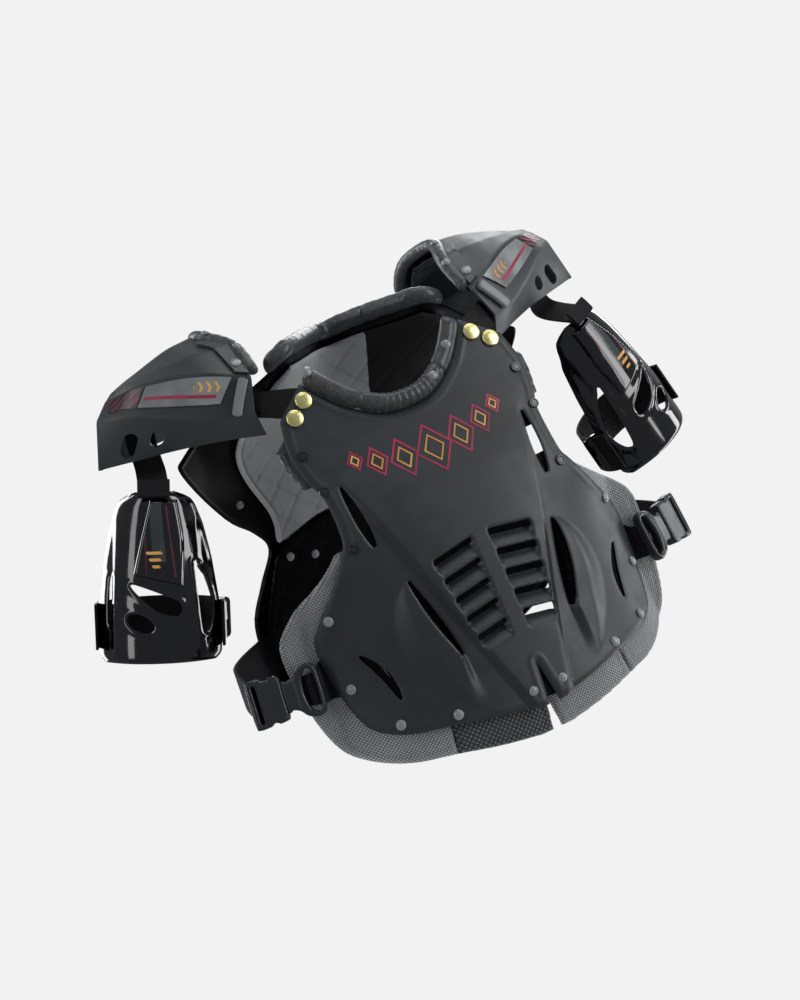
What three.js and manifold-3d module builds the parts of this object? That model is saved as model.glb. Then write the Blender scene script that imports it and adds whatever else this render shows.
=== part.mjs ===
// A roost deflector: chest and back plates, shoulder caps and upper-arm guards for motocross.
// Millimetres, +Z up, the front faces -Y. The origin is midway between the two places where it
// sits on the shoulders. Left and right are as seen from the front. The form is symmetric about X = 0,
// so each side is worked out for +X and mirrored.
import * as THREE from "three";
import { mergeVertices } from "three/addons/utils/BufferGeometryUtils.js";
import Module from "manifold-3d";

const wasm = await Module();
wasm.setup();

// Fits
const seatGap = 0.3; // between pieces that touch
const padGap = 4.4; // between a plate and its liner, where the waist webbing runs

// Chest plate
const chestTop = -33; // height of the neckline corners
const chestHeight = 322; // from there to the lowest point of the plate
const chestHalfWidth = 160; // at the hips
const chestSetOut = 70; // how far the top lies in front of the origin
const chestLean = 120; // how much further forward the bottom is
const chestWrap = 60; // how far the hips curve back
const chestWall = 3.5;
const fieldRise = 5; // the wedge-shaped centre field stands proud by this
const ventRows = 5;
const ventPitch = 18.6;
const ventSlot = 5.5; // height of one louvre's opening
const ventDepth = 7; // how deep a louvre's ramp starts
const scoopRise = 11;
const bottomSlitWidth = 11;

// Back plate
const backTop = -22; // height of the collar at the middle
const backHeight = 345;
const backHalfWidth = 172;
const backSetOut = 60;
const backWall = 3.5;
const backWrap = 50; // how far the hips come forward
const collarReach = 80; // half the width of the neck opening
const collarForward = 70; // how far the collar comes forward beside the neck

// Liners
const padThick = 11;
const padMargin = 27; // how far the hip liner shows past the plate
const padFlare = 0.1; // how fast its rim falls back past the plate's edge
const seamGap = 0.8; // between neighbouring liner pieces
const armholePipe = 7; // how far the chest liner shows along the armhole
const backPadThick = 9;
const rollWidth = 17;
const rollDepth = 15;

// Shoulder caps
const capLength = 134; // from the padded rim out to the tip
const capHalfDepth = 84; // front to back, at the rim
const capMiddle = 30; // the cap's middle lies behind the origin by this
const capFromEdge = 42; // how far inside the chest plate's widest point the rim's front corner lies
const capRimOut = chestHalfWidth - capFromEdge;
const capRise = 94; // from the lower edge to the crown
const capLow = -67; // height of the lower edge at the rim
const capWall = 3.2;
const capFaceGap = 0.9; // under the pieces on the cap's face, which bends
const panelThick = 1.2;
const liningGap = 2.2;
const liningThick = 6;
const bolsterWidth = 16;
const barWidth = 9;
const barHeight = 5;

// Upper-arm guards
const guardLength = 150;
const guardHalfWidth = 54;
const guardCrown = 30; // how far the middle stands forward of the edges
const guardWall = 3.2;
const guardFromRim = 101; // how far outside the cap's rim the top middle hangs
const guardOut = capRimOut + guardFromRim;
const guardForward = -2;
const guardTop = -84;
const guardSplay = 18; // degrees that the lower end swings outward
const guardTurn = 23; // degrees that the face turns outward
const guardPanelRise = 2.5;
const guardFaceGap = 0.8;
const bandWidth = 40;
const bandDown = 0.79; // share of guardLength
const bandDepth = 52; // how far the arm loop reaches back

// Webbing, buckles and fasteners
const armWebWidth = 27;
const webThick = 2.2;
const webGap = 1.2; // between webbing and the plate it runs behind
const waistWebWidth = 34;
const shoulderWebWidth = 42;
const buckleHeight = 43;
const buckleThick = 12;
const socketLength = 30;
const plugLength = 34;
const buckleReach = 66; // how far outside the chest plate the buckle's end lies
const buckleOut = chestHalfWidth + buckleReach;
const buckleForward = -80;
const buckleMiddle = -279;
const buckleTurn = 30; // degrees that its outer end turns back
const buckleTilt = 12; // degrees that its top leans back
const snapDiameter = 16;
const rivetDiameter = 9.5;
const fastenerGap = 0.6;

// Tables: shares of the sizes above.
// The chest plate's middle line and its curve to the sides, from the neckline down.
const chestSections = [
  { down: -0.1, lean: -0.12, wrap: 0.2 },
  { down: 0.0, lean: 0.0, wrap: 0.2 },
  { down: 0.16, lean: 0.19, wrap: 0.2 },
  { down: 0.29, lean: 0.4, wrap: 0.36 },
  { down: 0.45, lean: 0.58, wrap: 0.5 },
  { down: 0.6, lean: 0.69, wrap: 0.95 },
  { down: 0.8, lean: 0.81, wrap: 1.0 },
  { down: 1.0, lean: 1.0, wrap: 1.08 },
  { down: 1.15, lean: 1.05, wrap: 1.12 },
];
// Half of the chest plate's edge, from the middle of the neckline round to the bottom slit.
const chestEdge = [
  { out: 0.0, down: 0.16 },
  { out: 0.16, down: 0.148 },
  { out: 0.33, down: 0.1 },
  { out: 0.45, down: 0.04 },
  { out: 0.51, down: 0.0 },
  { out: 0.71, down: 0.075 },
  { out: 0.75, down: 0.16 },
  { out: 0.73, down: 0.24 },
  { out: 0.69, down: 0.3 },
  { out: 0.7, down: 0.41 },
  { out: 0.74, down: 0.45 },
  { out: 0.84, down: 0.53 },
  { out: 0.96, down: 0.62 },
  { out: 1.0, down: 0.675 },
  { out: 0.985, down: 0.79 },
  { out: 0.94, down: 0.89 },
  { out: 0.88, down: 0.93 },
  { out: 0.75, down: 0.955 },
  { out: 0.54, down: 0.965 },
  { out: 0.3, down: 0.985 },
  { out: 0.09, down: 1.0 },
];
// The back plate's middle line, how far its hips come forward, and how far the collar does.
const backSections = [
  { down: 0.0, set: 0.75, hips: 0.0, collar: 0.95 },
  { down: 0.08, set: 0.95, hips: 0.3, collar: 0.75 },
  { down: 0.18, set: 1.2, hips: 0.55, collar: 0.3 },
  { down: 0.3, set: 1.4, hips: 0.6, collar: 0.0 },
  { down: 0.55, set: 1.55, hips: 0.65, collar: 0.0 },
  { down: 0.8, set: 1.45, hips: 0.8, collar: 0.0 },
  { down: 1.05, set: 1.3, hips: 0.9, collar: 0.0 },
];
// Half of the back plate's edge, from the middle of the collar round to the bottom.
const backEdge = [
  { out: 0.0, down: 0.0 },
  { out: 0.23, down: -0.02 },
  { out: 0.42, down: -0.03 },
  { out: 0.56, down: 0.01 },
  { out: 0.78, down: 0.08 },
  { out: 1.0, down: 0.145 },
  { out: 1.04, down: 0.19 },
  { out: 0.84, down: 0.36 },
  { out: 0.7, down: 0.43 },
  { out: 0.64, down: 0.49 },
  { out: 0.76, down: 0.57 },
  { out: 0.89, down: 0.66 },
  { out: 0.9, down: 0.79 },
  { out: 0.8, down: 0.89 },
  { out: 0.5, down: 0.97 },
  { out: 0.0, down: 1.0 },
];
// The shoulder cap's front half: columns from the rim outward, each from its lower edge to its crown.
// out is a share of capLength past the rim, front of capHalfDepth, up of capRise above the lower edge.
const capColumns = [
  [
    { out: 0.02, front: 0.95, up: 0.0 },
    { out: 0.05, front: 0.99, up: 0.24 },
    { out: -0.03, front: 0.89, up: 0.56 },
    { out: -0.04, front: 0.5, up: 0.86 },
    { out: 0.1, front: 0.0, up: 1.0 },
  ],
  [
    { out: 0.24, front: 0.73, up: 0.06 },
    { out: 0.26, front: 0.88, up: 0.28 },
    { out: 0.19, front: 0.77, up: 0.71 },
    { out: 0.22, front: 0.45, up: 0.89 },
    { out: 0.27, front: 0.0, up: 0.98 },
  ],
  [
    { out: 0.51, front: 0.43, up: 0.1 },
    { out: 0.51, front: 0.6, up: 0.41 },
    { out: 0.4, front: 0.5, up: 0.78 },
    { out: 0.43, front: 0.26, up: 0.86 },
    { out: 0.45, front: 0.0, up: 0.91 },
  ],
  [
    { out: 0.78, front: 0.18, up: 0.12 },
    { out: 0.73, front: 0.3, up: 0.56 },
    { out: 0.61, front: 0.25, up: 0.79 },
    { out: 0.61, front: 0.12, up: 0.82 },
    { out: 0.62, front: 0.0, up: 0.83 },
  ],
  [
    { out: 1.0, front: 0.0, up: 0.14 },
    { out: 0.9, front: 0.0, up: 0.58 },
    { out: 0.8, front: 0.0, up: 0.72 },
    { out: 0.74, front: 0.0, up: 0.78 },
    { out: 0.69, front: 0.0, up: 0.8 },
  ],
];
// The upper-arm guard from its top down: half-width and crown as shares.
const guardSections = [
  { down: 0.0, wide: 0.44, crown: 0.45 },
  { down: 0.06, wide: 0.62, crown: 0.6 },
  { down: 0.2, wide: 0.76, crown: 0.78 },
  { down: 0.4, wide: 0.88, crown: 0.9 },
  { down: 0.66, wide: 0.98, crown: 1.0 },
  { down: 0.95, wide: 1.0, crown: 1.0 },
  { down: 1.0, wide: 0.95, crown: 0.98 },
];

// Materials
function plain(color, roughness, metalness = 0) {
  return new THREE.MeshStandardMaterial({ color, roughness, metalness, flatShading: true });
}
const shellPlastic = plain(0x363b3e, 0.55);
const glossPlastic = plain(0x0b0c0e, 0.12);
const bucklePlastic = plain(0x4a4f50, 0.3);
const padMesh = plain(0x6f7374, 0.9);
const leatherette = plain(0x454b4d, 0.5);
const webbing = plain(0x18191b, 0.9);
const goldMetal = plain(0xe8d468, 0.25, 0.9);
const darkMetal = plain(0x70757a, 0.35, 0.8);
const panelFilm = plain(0x8a8d8f, 0.35);

// Helpers
const vec = (x, y, z) => new THREE.Vector3(x, y, z);
const clamp01 = (t) => Math.min(1, Math.max(0, t));
const smooth = (t) => clamp01(t) ** 2 * (3 - 2 * clamp01(t));

// One column of a table, read at a place between its rows.
function column(rows, key, name, at) {
  const next = rows.findIndex((row) => row[key] >= at);
  if (next < 0) return rows.at(-1)[name];
  if (next === 0) return rows[0][name];
  const [a, b] = [rows[next - 1], rows[next]];
  return a[name] + ((b[name] - a[name]) * (at - a[key])) / (b[key] - a[key]);
}

function geometryOf(points, triangles) {
  const geometry = new THREE.BufferGeometry();
  const flat = new Float32Array(points.flatMap((p) => [p.x, p.y, p.z]));
  geometry.setAttribute("position", new THREE.BufferAttribute(flat, 3));
  geometry.setIndex(triangles.flat());
  return geometry;
}

function solidOf(source) {
  const bare = source.clone();
  bare.deleteAttribute("normal");
  bare.deleteAttribute("uv");
  const merged = mergeVertices(bare, 1e-3);
  return new wasm.Manifold(
    new wasm.Mesh({
      numProp: 3,
      vertProperties: merged.attributes.position.array,
      triVerts: new Uint32Array(merged.index.array),
    }),
  );
}

function geometryFrom(solid) {
  const mesh = solid.getMesh();
  const geometry = new THREE.BufferGeometry();
  geometry.setAttribute("position", new THREE.BufferAttribute(mesh.vertProperties, 3));
  geometry.setIndex(new THREE.BufferAttribute(mesh.triVerts, 1));
  return geometry;
}

// A closed body between two surfaces of the same grid, front facing the viewer of increasing u, v.
function slab(us, vs, front, back) {
  const [nu, nv] = [us.length, vs.length];
  const points = [];
  for (const surface of [front, back])
    for (const v of vs) for (const u of us) points.push(surface(u, v));
  const triangles = [];
  const quad = (a, b, c, d) => triangles.push([a, b, c], [a, c, d]);
  const at = (i, j) => j * nu + i;
  const rear = nu * nv;
  for (let j = 0; j + 1 < nv; j++)
    for (let i = 0; i + 1 < nu; i++) {
      quad(at(i, j), at(i + 1, j), at(i + 1, j + 1), at(i, j + 1));
      quad(rear + at(i, j), rear + at(i, j + 1), rear + at(i + 1, j + 1), rear + at(i + 1, j));
    }
  for (let i = 0; i + 1 < nu; i++) {
    quad(at(i, 0), rear + at(i, 0), rear + at(i + 1, 0), at(i + 1, 0));
    quad(at(i, nv - 1), at(i + 1, nv - 1), rear + at(i + 1, nv - 1), rear + at(i, nv - 1));
  }
  for (let j = 0; j + 1 < nv; j++) {
    quad(at(0, j), at(0, j + 1), rear + at(0, j + 1), rear + at(0, j));
    quad(at(nu - 1, j), rear + at(nu - 1, j), rear + at(nu - 1, j + 1), at(nu - 1, j + 1));
  }
  return geometryOf(points, triangles);
}

// An open surface given a wall: each point has a copy moved inward, and the open edge is closed.
function thicken(surface, wall) {
  const merged = mergeVertices(surface, 1e-3);
  merged.computeVertexNormals();
  const [p, n, index] = [merged.attributes.position, merged.attributes.normal, merged.index.array];
  const points = [];
  for (const depth of [0, wall])
    for (let i = 0; i < p.count; i++)
      points.push(
        vec(p.getX(i) - n.getX(i) * depth, p.getY(i) - n.getY(i) * depth, p.getZ(i) - n.getZ(i) * depth),
      );
  const triangles = [];
  const edges = new Set();
  for (let t = 0; t < index.length; t += 3) {
    const [a, b, c] = index.slice(t, t + 3);
    triangles.push([a, b, c], [a + p.count, c + p.count, b + p.count]);
    for (const [s, e] of [[a, b], [b, c], [c, a]]) edges.add(s + "," + e);
  }
  for (const edge of edges) {
    const [s, e] = edge.split(",").map(Number);
    if (edges.has(e + "," + s)) continue;
    triangles.push([s, s + p.count, e + p.count], [s, e + p.count, e]);
  }
  return geometryOf(points, triangles);
}

// A ring of points carried along a path, closed at both ends.
function sweep(path, ring) {
  const count = ring(0).length;
  const points = [];
  const triangles = [];
  path.forEach((place, k) => {
    for (const [a, b] of ring(k / (path.length - 1)))
      points.push(place.at.clone().addScaledVector(place.across, a).addScaledVector(place.out, b));
    if (!k) return;
    for (let i = 0; i < count; i++) {
      const j = (i + 1) % count;
      const [low, high] = [(k - 1) * count, k * count];
      triangles.push([low + i, low + j, high + j], [low + i, high + j, high + i]);
    }
  });
  const last = (path.length - 1) * count;
  for (let i = 1; i + 1 < count; i++) {
    triangles.push([0, i + 1, i], [last, last + i, last + i + 1]);
  }
  return geometryOf(points, triangles);
}

// Turns a body the right way out.
function facingOut(shape) {
  const geometry = shape.index ? shape : mergeVertices(shape, 1e-3);
  if (solidOf(geometry).volume() >= 0) return geometry;
  const index = geometry.index.array;
  for (let i = 0; i < index.length; i += 3) [index[i + 1], index[i + 2]] = [index[i + 2], index[i + 1]];
  return geometry;
}

// A closed outline in X and Z carried through the whole depth of the part.
function throughY(outline, from = -400, to = 400) {
  const shape = new THREE.Shape(outline.map(([x, z]) => new THREE.Vector2(x, z)));
  const geometry = new THREE.ExtrudeGeometry(shape, { depth: to - from, bevelEnabled: false });
  return geometry.rotateX(Math.PI / 2).translate(0, to, 0);
}

const mirrored = (outline) => outline.map(([x, z]) => [-x, z]).reverse();

// A slot with round ends between two points, wider at one end.
function slotOutline([x0, z0], [x1, z1], wide0, wide1, bend = 0) {
  const along = new THREE.Vector2(x1 - x0, z1 - z0);
  const across = new THREE.Vector2(-along.y, along.x).normalize();
  const outline = [];
  const steps = 5;
  for (let i = 0; i <= steps; i++) {
    const [t, a] = [i / steps, Math.PI * (i / steps)];
    const lean = bend * Math.sin(a);
    const half = (wide0 + (wide1 - wide0) * t) * 0.5 * Math.sin(a * 0.86 + 0.22);
    outline.push({ t, lean, half });
  }
  const place = (t, off) => [x0 + along.x * t + across.x * off, z0 + along.y * t + across.y * off];
  return [
    ...outline.map((o) => place(o.t, o.lean + o.half)),
    ...outline.reverse().map((o) => place(o.t, o.lean - o.half)),
  ];
}

const root = new THREE.Group();
function add(name, geometry, material) {
  const mesh = new THREE.Mesh(geometry, material);
  mesh.name = name;
  root.add(mesh);
  return mesh;
}
function addBothSides(name, geometry, material) {
  add(name + "_right", geometry, material);
  add(name + "_left", geometry, material).scale.x = -1;
}

// Chest plate
const chestX = (share) => share * chestHalfWidth;
const chestZ = (share) => chestTop - share * chestHeight;
const chestOutline = chestEdge.map(({ out, down }) => [chestX(out), chestZ(down)]);
const fieldEdge = (down) => chestX(0.57 - 0.64 * (down - 0.29));
const ladder = { top: chestZ(0.514), out: chestX(0.32), low: chestX(0.24), rib: chestX(0.045) };
const ladderHeight = ventRows * ventPitch;
const ventSlope = 0.17; // each louvre's outer end is lower
const scoop = {
  tip: [chestX(0.47), chestZ(0.57)],
  tail: [chestX(0.36), chestZ(0.8)],
  out: chestX(0.66),
  low: chestZ(0.95),
};

function ladderEdge(z) {
  const t = clamp01((ladder.top - z) / ladderHeight);
  return ladder.out + (ladder.low - ladder.out) * t;
}
function scoopLine(z) {
  const t = (scoop.tip[1] - z) / (scoop.tip[1] - scoop.tail[1]);
  return scoop.tip[0] + (scoop.tail[0] - scoop.tip[0]) * t ** 1.4;
}

function chestBase(x, z) {
  const down = (chestTop - z) / chestHeight;
  const lean = column(chestSections, "down", "lean", down) * chestLean;
  const wrap = column(chestSections, "down", "wrap", down) * chestWrap;
  return -chestSetOut - lean + wrap * (Math.abs(x) / chestHalfWidth) ** 2.6;
}
function fieldHeight(x, z) {
  const down = (chestTop - z) / chestHeight;
  return fieldRise * smooth((fieldEdge(down) - Math.abs(x)) / 12 + 0.5) * smooth((down - 0.24) / 0.14);
}
function scoopHeight(x, z) {
  const out = Math.abs(x);
  const t = (scoop.tip[1] - z) / (scoop.tip[1] - scoop.low);
  if (t <= 0 || t >= 1) return 0;
  const line = scoopLine(Math.max(z, scoop.tail[1]));
  const reach = (scoop.out - line) * Math.sin(Math.PI * t ** 0.8) ** 0.7;
  if (out < line || reach <= 0) return 0;
  return scoopRise * smooth(1 - (out - line) / reach) * Math.sin(Math.PI * t ** 0.7);
}
function ventSink(x, z) {
  const out = Math.abs(x);
  const level = z + ventSlope * out;
  const t = (ladder.top - level) / ventPitch;
  if (t < 0 || t > ventRows || out < ladder.rib || out > ladderEdge(level)) return 0;
  const row = t % 1;
  const slot = ventSlot / ventPitch;
  return ventDepth * (row < slot ? row / slot : clamp01((0.86 - row) / (0.86 - slot)));
}
function chestFront(x, z) {
  return chestBase(x, z) - fieldHeight(x, z) - scoopHeight(x, z) + ventSink(x, z);
}

const ventTops = Array.from({ length: ventRows }, (_, i) => ladder.top - i * ventPitch);
// One louvre's opening, right side.
function ventOutline(top) {
  const [a, b] = [ladder.rib + 1.5, ladderEdge(top) - 1.5];
  const low = top - ventSlot;
  return [
    [a, top - ventSlope * a],
    [b, top - ventSlope * b],
    [b, low - ventSlope * b],
    [a, low - ventSlope * a],
  ];
}
const armSlot = slotOutline([chestX(0.585), chestZ(0.28)], [chestX(0.555), chestZ(0.455)], 7, 11);
const hipSlot = slotOutline([chestX(0.83), chestZ(0.72)], [chestX(0.73), chestZ(0.86)], 8, 8, -4);
const scoopSlit = [
  [scoop.tip[0] - 3, scoop.tip[1] + 1],
  ...[0.25, 0.5, 0.75].map((t) => {
    const z = scoop.tip[1] + (scoop.tail[1] - scoop.tip[1]) * t;
    return [scoopLine(z) - 3.5, z];
  }),
  [scoop.tail[0] - 1, scoop.tail[1]],
  [scoop.tail[0] + 1.5, scoop.tail[1] + 1],
  ...[0.75, 0.5, 0.25].map((t) => {
    const z = scoop.tip[1] + (scoop.tail[1] - scoop.tip[1]) * t;
    return [scoopLine(z) + 2.5, z];
  }),
  [scoop.tip[0] + 2, scoop.tip[1] + 1],
];
const bottomSlit = [
  [0, chestZ(0.89)],
  [bottomSlitWidth / 2, chestZ(1.02)],
  [-bottomSlitWidth / 2, chestZ(1.02)],
];

// Grid lines across and down the plate, close together where its surface bends.
function chestLines() {
  const half = [0.045, 0.06, 0.2, 0.33, 0.41, 0.47, 0.55, 0.66, 0.78, 0.9, 1.01].map(chestX);
  const across = [...half.map((x) => -x).reverse(), 0, ...half];
  const rows = [-0.03, 0.06, 0.14, 0.22, 0.29, 0.36, 0.43].map(chestZ).map((z) => z + 6);
  for (const top of ventTops) rows.push(top + 0.5, top - ventSlot, top - ventPitch * 0.55);
  rows.push(...[0.82, 0.88, 0.94].map(chestZ), chestZ(1.0) - 14);
  return { across, rows };
}
const { across: chestAcross, rows: chestRows } = chestLines();
const shear = (x) => ventSlope * Math.min(Math.abs(x), ladder.out + 12);

function chestSlab(near, far, across = chestAcross, rows = chestRows) {
  return slab(
    across,
    [...rows].reverse(),
    (x, level) => vec(x, chestFront(x, level - shear(x)) + near, level - shear(x)),
    (x, level) => vec(x, chestFront(x, level - shear(x)) + far, level - shear(x)),
  );
}
const chestWhole = [...chestOutline, ...mirrored(chestOutline).filter(([x]) => x < -0.5)];

function chestShell() {
  let plate = solidOf(chestSlab(0, chestWall)).intersect(solidOf(throughY(chestWhole)));
  const cuts = [armSlot, hipSlot, scoopSlit, ...ventTops.map(ventOutline)];
  for (const cut of cuts) for (const outline of [cut, mirrored(cut)]) plate = plate.subtract(solidOf(throughY(outline)));
  return geometryFrom(plate.subtract(solidOf(throughY(bottomSlit))));
}
add("chest_shell", chestShell(), shellPlastic);

// Liner behind the chest plate: a ribbon along its edge, and a panel across the upper chest
const waistRow = 10; // where the hip liner begins, in chestEdge
const seamRow = 18; // where the hip liner meets the bottom liner
const ribbonInset = 20; // how far the ribbon reaches in behind the plate
function ribbonSide(reach) {
  const points = chestOutline.slice(waistRow);
  return points.map(([x, z], i) => {
    const [a, b] = [points[Math.max(0, i - 1)], points[Math.min(points.length - 1, i + 1)]];
    const length = Math.hypot(b[0] - a[0], b[1] - a[1]);
    return [x + ((b[1] - a[1]) / length) * -reach(i), z + ((b[0] - a[0]) / length) * reach(i)];
  });
}
const ribbonOuter = ribbonSide((i) => padMargin * smooth((i + 0.4) / 3));
const ribbonInner = ribbonSide(() => -ribbonInset);
const toSeam = seamRow - waistRow;
const pastSeam = (side) => {
  const [[x0, z0], [x1, z1]] = side.slice(toSeam, toSeam + 2);
  const t = seamGap / Math.hypot(x1 - x0, z1 - z0);
  return [[x0 + (x1 - x0) * t, z0 + (z1 - z0) * t], ...side.slice(toSeam + 1)];
};
const hipOutline = [...ribbonOuter.slice(0, toSeam + 1), ...ribbonInner.slice(0, toSeam + 1).reverse()];
const bottomOutline = [...pastSeam(ribbonOuter), ...pastSeam(ribbonInner).reverse()];
const chestPadOutline = [
  ...chestOutline.slice(0, 4).map(([x, z]) => [x, z - 2]),
  [chestX(0.64), chestZ(0.135)],
  ...chestOutline.slice(6, 8).map(([x, z]) => [x + armholePipe, z]),
  [chestX(0.76), chestZ(0.262)],
  [0, chestZ(0.262)],
];

// Past the plate's edge the liner runs on nearly straight.
function padFront(x, z, gap) {
  const held = Math.min(Math.abs(x), chestHalfWidth);
  return chestBase(held, z) + chestWall + gap + padFlare * (Math.abs(x) - held);
}
function padSlab(outline, gap) {
  const xs = outline.map(([x]) => x);
  const zs = outline.map(([, z]) => z);
  const lines = (low, high, pitch) => {
    const count = Math.ceil((high - low) / pitch);
    return Array.from({ length: count + 1 }, (_, i) => low + ((high - low) * i) / count);
  };
  const [least, most] = [Math.min(...xs) - 1, Math.max(...xs) + 1];
  const bends = [chestHalfWidth * 0.9, chestHalfWidth].filter((x) => x < most - 2);
  const across = [...lines(least, most, 26), ...bends].sort((a, b) => a - b);
  const rows = lines(Math.min(...zs) - 1, Math.max(...zs) + 1, 21);
  const body = slab(
    across,
    rows,
    (x, z) => vec(x, padFront(x, z, gap), z),
    (x, z) => vec(x, padFront(x, z, gap) + padThick, z),
  );
  return geometryFrom(solidOf(body).intersect(solidOf(throughY(outline))));
}
addBothSides("hip_pad", padSlab(hipOutline, padGap), padMesh);
addBothSides("bottom_pad", padSlab(bottomOutline, padGap), padMesh);
const chestPadWhole = [...chestPadOutline, ...mirrored(chestPadOutline).filter(([x]) => x < -0.5)];
add("chest_pad", padSlab(chestPadWhole, 2 * seatGap), padMesh);

// Back plate
const backX = (share) => share * backHalfWidth;
const backZ = (share) => backTop - share * backHeight;
const backOutline = backEdge.map(({ out, down }) => [backX(out), backZ(down)]);
function backRear(x, z) {
  const down = (backTop - z) / backHeight;
  const [set, hips, collar] = ["set", "hips", "collar"].map((name) => column(backSections, "down", name, down));
  const out = Math.abs(x);
  const neck = smooth(out / collarReach) * (1 - 0.75 * smooth((out - collarReach) / collarReach));
  return set * backSetOut - hips * backWrap * (out / backHalfWidth) ** 2 - collar * collarForward * neck;
}
const backHalfLines = [0, 0.15, 0.3, 0.45, 0.6, 0.75, 0.9, 1.06].map(backX);
const backAcross = [...backHalfLines.slice(1).map((x) => -x).reverse(), ...backHalfLines];
const backRows = [1.02, 0.86, 0.7, 0.55, 0.42, 0.3, 0.2, 0.12, 0.05, 0, -0.05].map(backZ);
function backSlab(near, far, outline) {
  const body = slab(
    backAcross,
    backRows,
    (x, z) => vec(x, backRear(x, z) - near, z),
    (x, z) => vec(x, backRear(x, z) - far, z),
  );
  return geometryFrom(solidOf(body).intersect(solidOf(throughY(outline))));
}
const whole = (half) => [...half, ...mirrored(half).filter(([x]) => x < -0.5)];
add("back_shell", backSlab(backWall, 0, whole(backOutline)), glossPlastic);

const backPadNear = backWall + webThick + 2 * webGap;
const backPadEdge = [
  [0, backZ(0.02)],
  [backX(0.4), backZ(0.0)],
  [backX(0.54), backZ(0.05)],
  [backX(0.7), backZ(0.2)],
  [backX(0.57), backZ(0.39)],
  [backX(0.575), backZ(0.48)],
  [backX(0.3), backZ(0.455)],
  [0, backZ(0.455)],
];
const kidneyPadEdge = [
  [0, backZ(0.465)],
  [backX(0.3), backZ(0.465)],
  [backX(0.58), backZ(0.492)],
  [backX(0.72), backZ(0.58)],
  [backX(0.84), backZ(0.68)],
  [backX(0.84), backZ(0.78)],
  [backX(0.74), backZ(0.87)],
  [backX(0.46), backZ(0.94)],
  [0, backZ(0.97)],
];
const backPadSeat = backWall + 2 * seatGap;
add("back_pad", backSlab(backPadSeat + backPadThick, backPadSeat, whole(backPadEdge)), padMesh);
add("kidney_pad", backSlab(backPadNear + backPadThick, backPadNear, whole(kidneyPadEdge)), padMesh);

// Padded rolls along the neckline and the collar
const rollRing = (half, deep) => () =>
  Array.from({ length: 8 }, (_, i) => {
    const a = (Math.PI * 2 * (i + 0.5)) / 8;
    return [Math.cos(a) * half * 1.04, Math.sin(a) * deep * 1.04];
  });
function curveOf(points, steps) {
  return new THREE.CatmullRomCurve3(points).getPoints(steps);
}
const tangentAt = (points, i) =>
  points[Math.min(i + 1, points.length - 1)].clone().sub(points[Math.max(i - 1, 0)]).normalize();

// The front roll lies against the plate's neckline, inside the opening.
function frontRoll() {
  const half = chestOutline.slice(0, 5);
  const line = [...half.slice(1).map(([x, z]) => [-x, z]).reverse(), ...half];
  const edge = curveOf(line.map(([x, z]) => vec(x, chestFront(x, z) + chestWall / 2, z)), 16);
  const reach = rollWidth / 2 + seatGap + 1.2;
  return sweep(
    edge.map((p, i) => {
      const along = tangentAt(edge, i);
      const into = vec(-along.z, 0, along.x).normalize();
      return { at: p.clone().addScaledVector(into, reach), across: into, out: vec(0, -1, 0) };
    }),
    rollRing(rollWidth / 2, rollDepth / 2),
  );
}
add("neck_roll_front", facingOut(frontRoll()), leatherette);

// The back roll caps the collar's upper edge.
function backRoll() {
  const xs = [-0.53, -0.42, -0.23, 0, 0.23, 0.42, 0.53].map(backX);
  const top = (x) => column(backEdge, "out", "down", Math.abs(x) / backHalfWidth);
  const place = (x) => {
    const z = backZ(top(x));
    return vec(x, backRear(x, z) - backWall / 2, z + rollWidth / 2 + seatGap + 0.9);
  };
  const edge = curveOf(xs.map(place), 16);
  return sweep(
    edge.map((p, i) => {
      const along = tangentAt(edge, i);
      return { at: p, across: vec(0, 0, 1), out: vec(along.y, -along.x, 0).normalize() };
    }),
    rollRing(rollWidth / 2, rollDepth / 2),
  );
}
add("neck_roll_back", facingOut(backRoll()), leatherette);

// Shoulder caps, built for +X: columns of the table joined, the back half mirrored about the cap's middle
const capPoint = ({ out, front, up }) =>
  vec(capRimOut + out * capLength, capMiddle - front * capHalfDepth, capLow + up * capRise);
const capGrid = capColumns.map((rows) => rows.map(capPoint));
const across = (p) => vec(p.x, 2 * capMiddle - p.y, p.z);

function patch(grid, flip) {
  const triangles = [];
  const rows = grid[0].length;
  const at = (c, r) => c * rows + r;
  for (let c = 0; c + 1 < grid.length; c++)
    for (let r = 0; r + 1 < rows; r++) {
      const corners = [at(c, r), at(c + 1, r), at(c + 1, r + 1), at(c, r + 1)];
      if (flip) corners.reverse();
      triangles.push([corners[0], corners[1], corners[2]], [corners[0], corners[2], corners[3]]);
    }
  return geometryOf(grid.flat(), triangles);
}
function joined(...pieces) {
  const position = pieces.flatMap((g) => [...g.toNonIndexed().attributes.position.array]);
  const geometry = new THREE.BufferGeometry();
  geometry.setAttribute("position", new THREE.BufferAttribute(new Float32Array(position), 3));
  return withoutSlivers(mergeVertices(geometry, 1e-3));
}
// Triangles that have lost an edge to merging are dropped.
function withoutSlivers(geometry) {
  const index = [...geometry.index.array];
  const kept = [];
  for (let i = 0; i < index.length; i += 3) {
    const [a, b, c] = index.slice(i, i + 3);
    if (a !== b && b !== c && a !== c) kept.push(a, b, c);
  }
  geometry.setIndex(kept);
  return geometry;
}
// A copy of a surface moved outward along its normals.
function offset(surface, distance) {
  const moved = surface.clone();
  moved.computeVertexNormals();
  const [p, n] = [moved.attributes.position, moved.attributes.normal];
  for (let i = 0; i < p.count; i++)
    p.setXYZ(i, p.getX(i) + n.getX(i) * distance, p.getY(i) + n.getY(i) * distance, p.getZ(i) + n.getZ(i) * distance);
  return moved;
}
const capSurface = (grid) => joined(patch(grid, false), patch(grid.map((c) => c.map(across)), true));
const capSkin = capSurface(capGrid);

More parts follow.
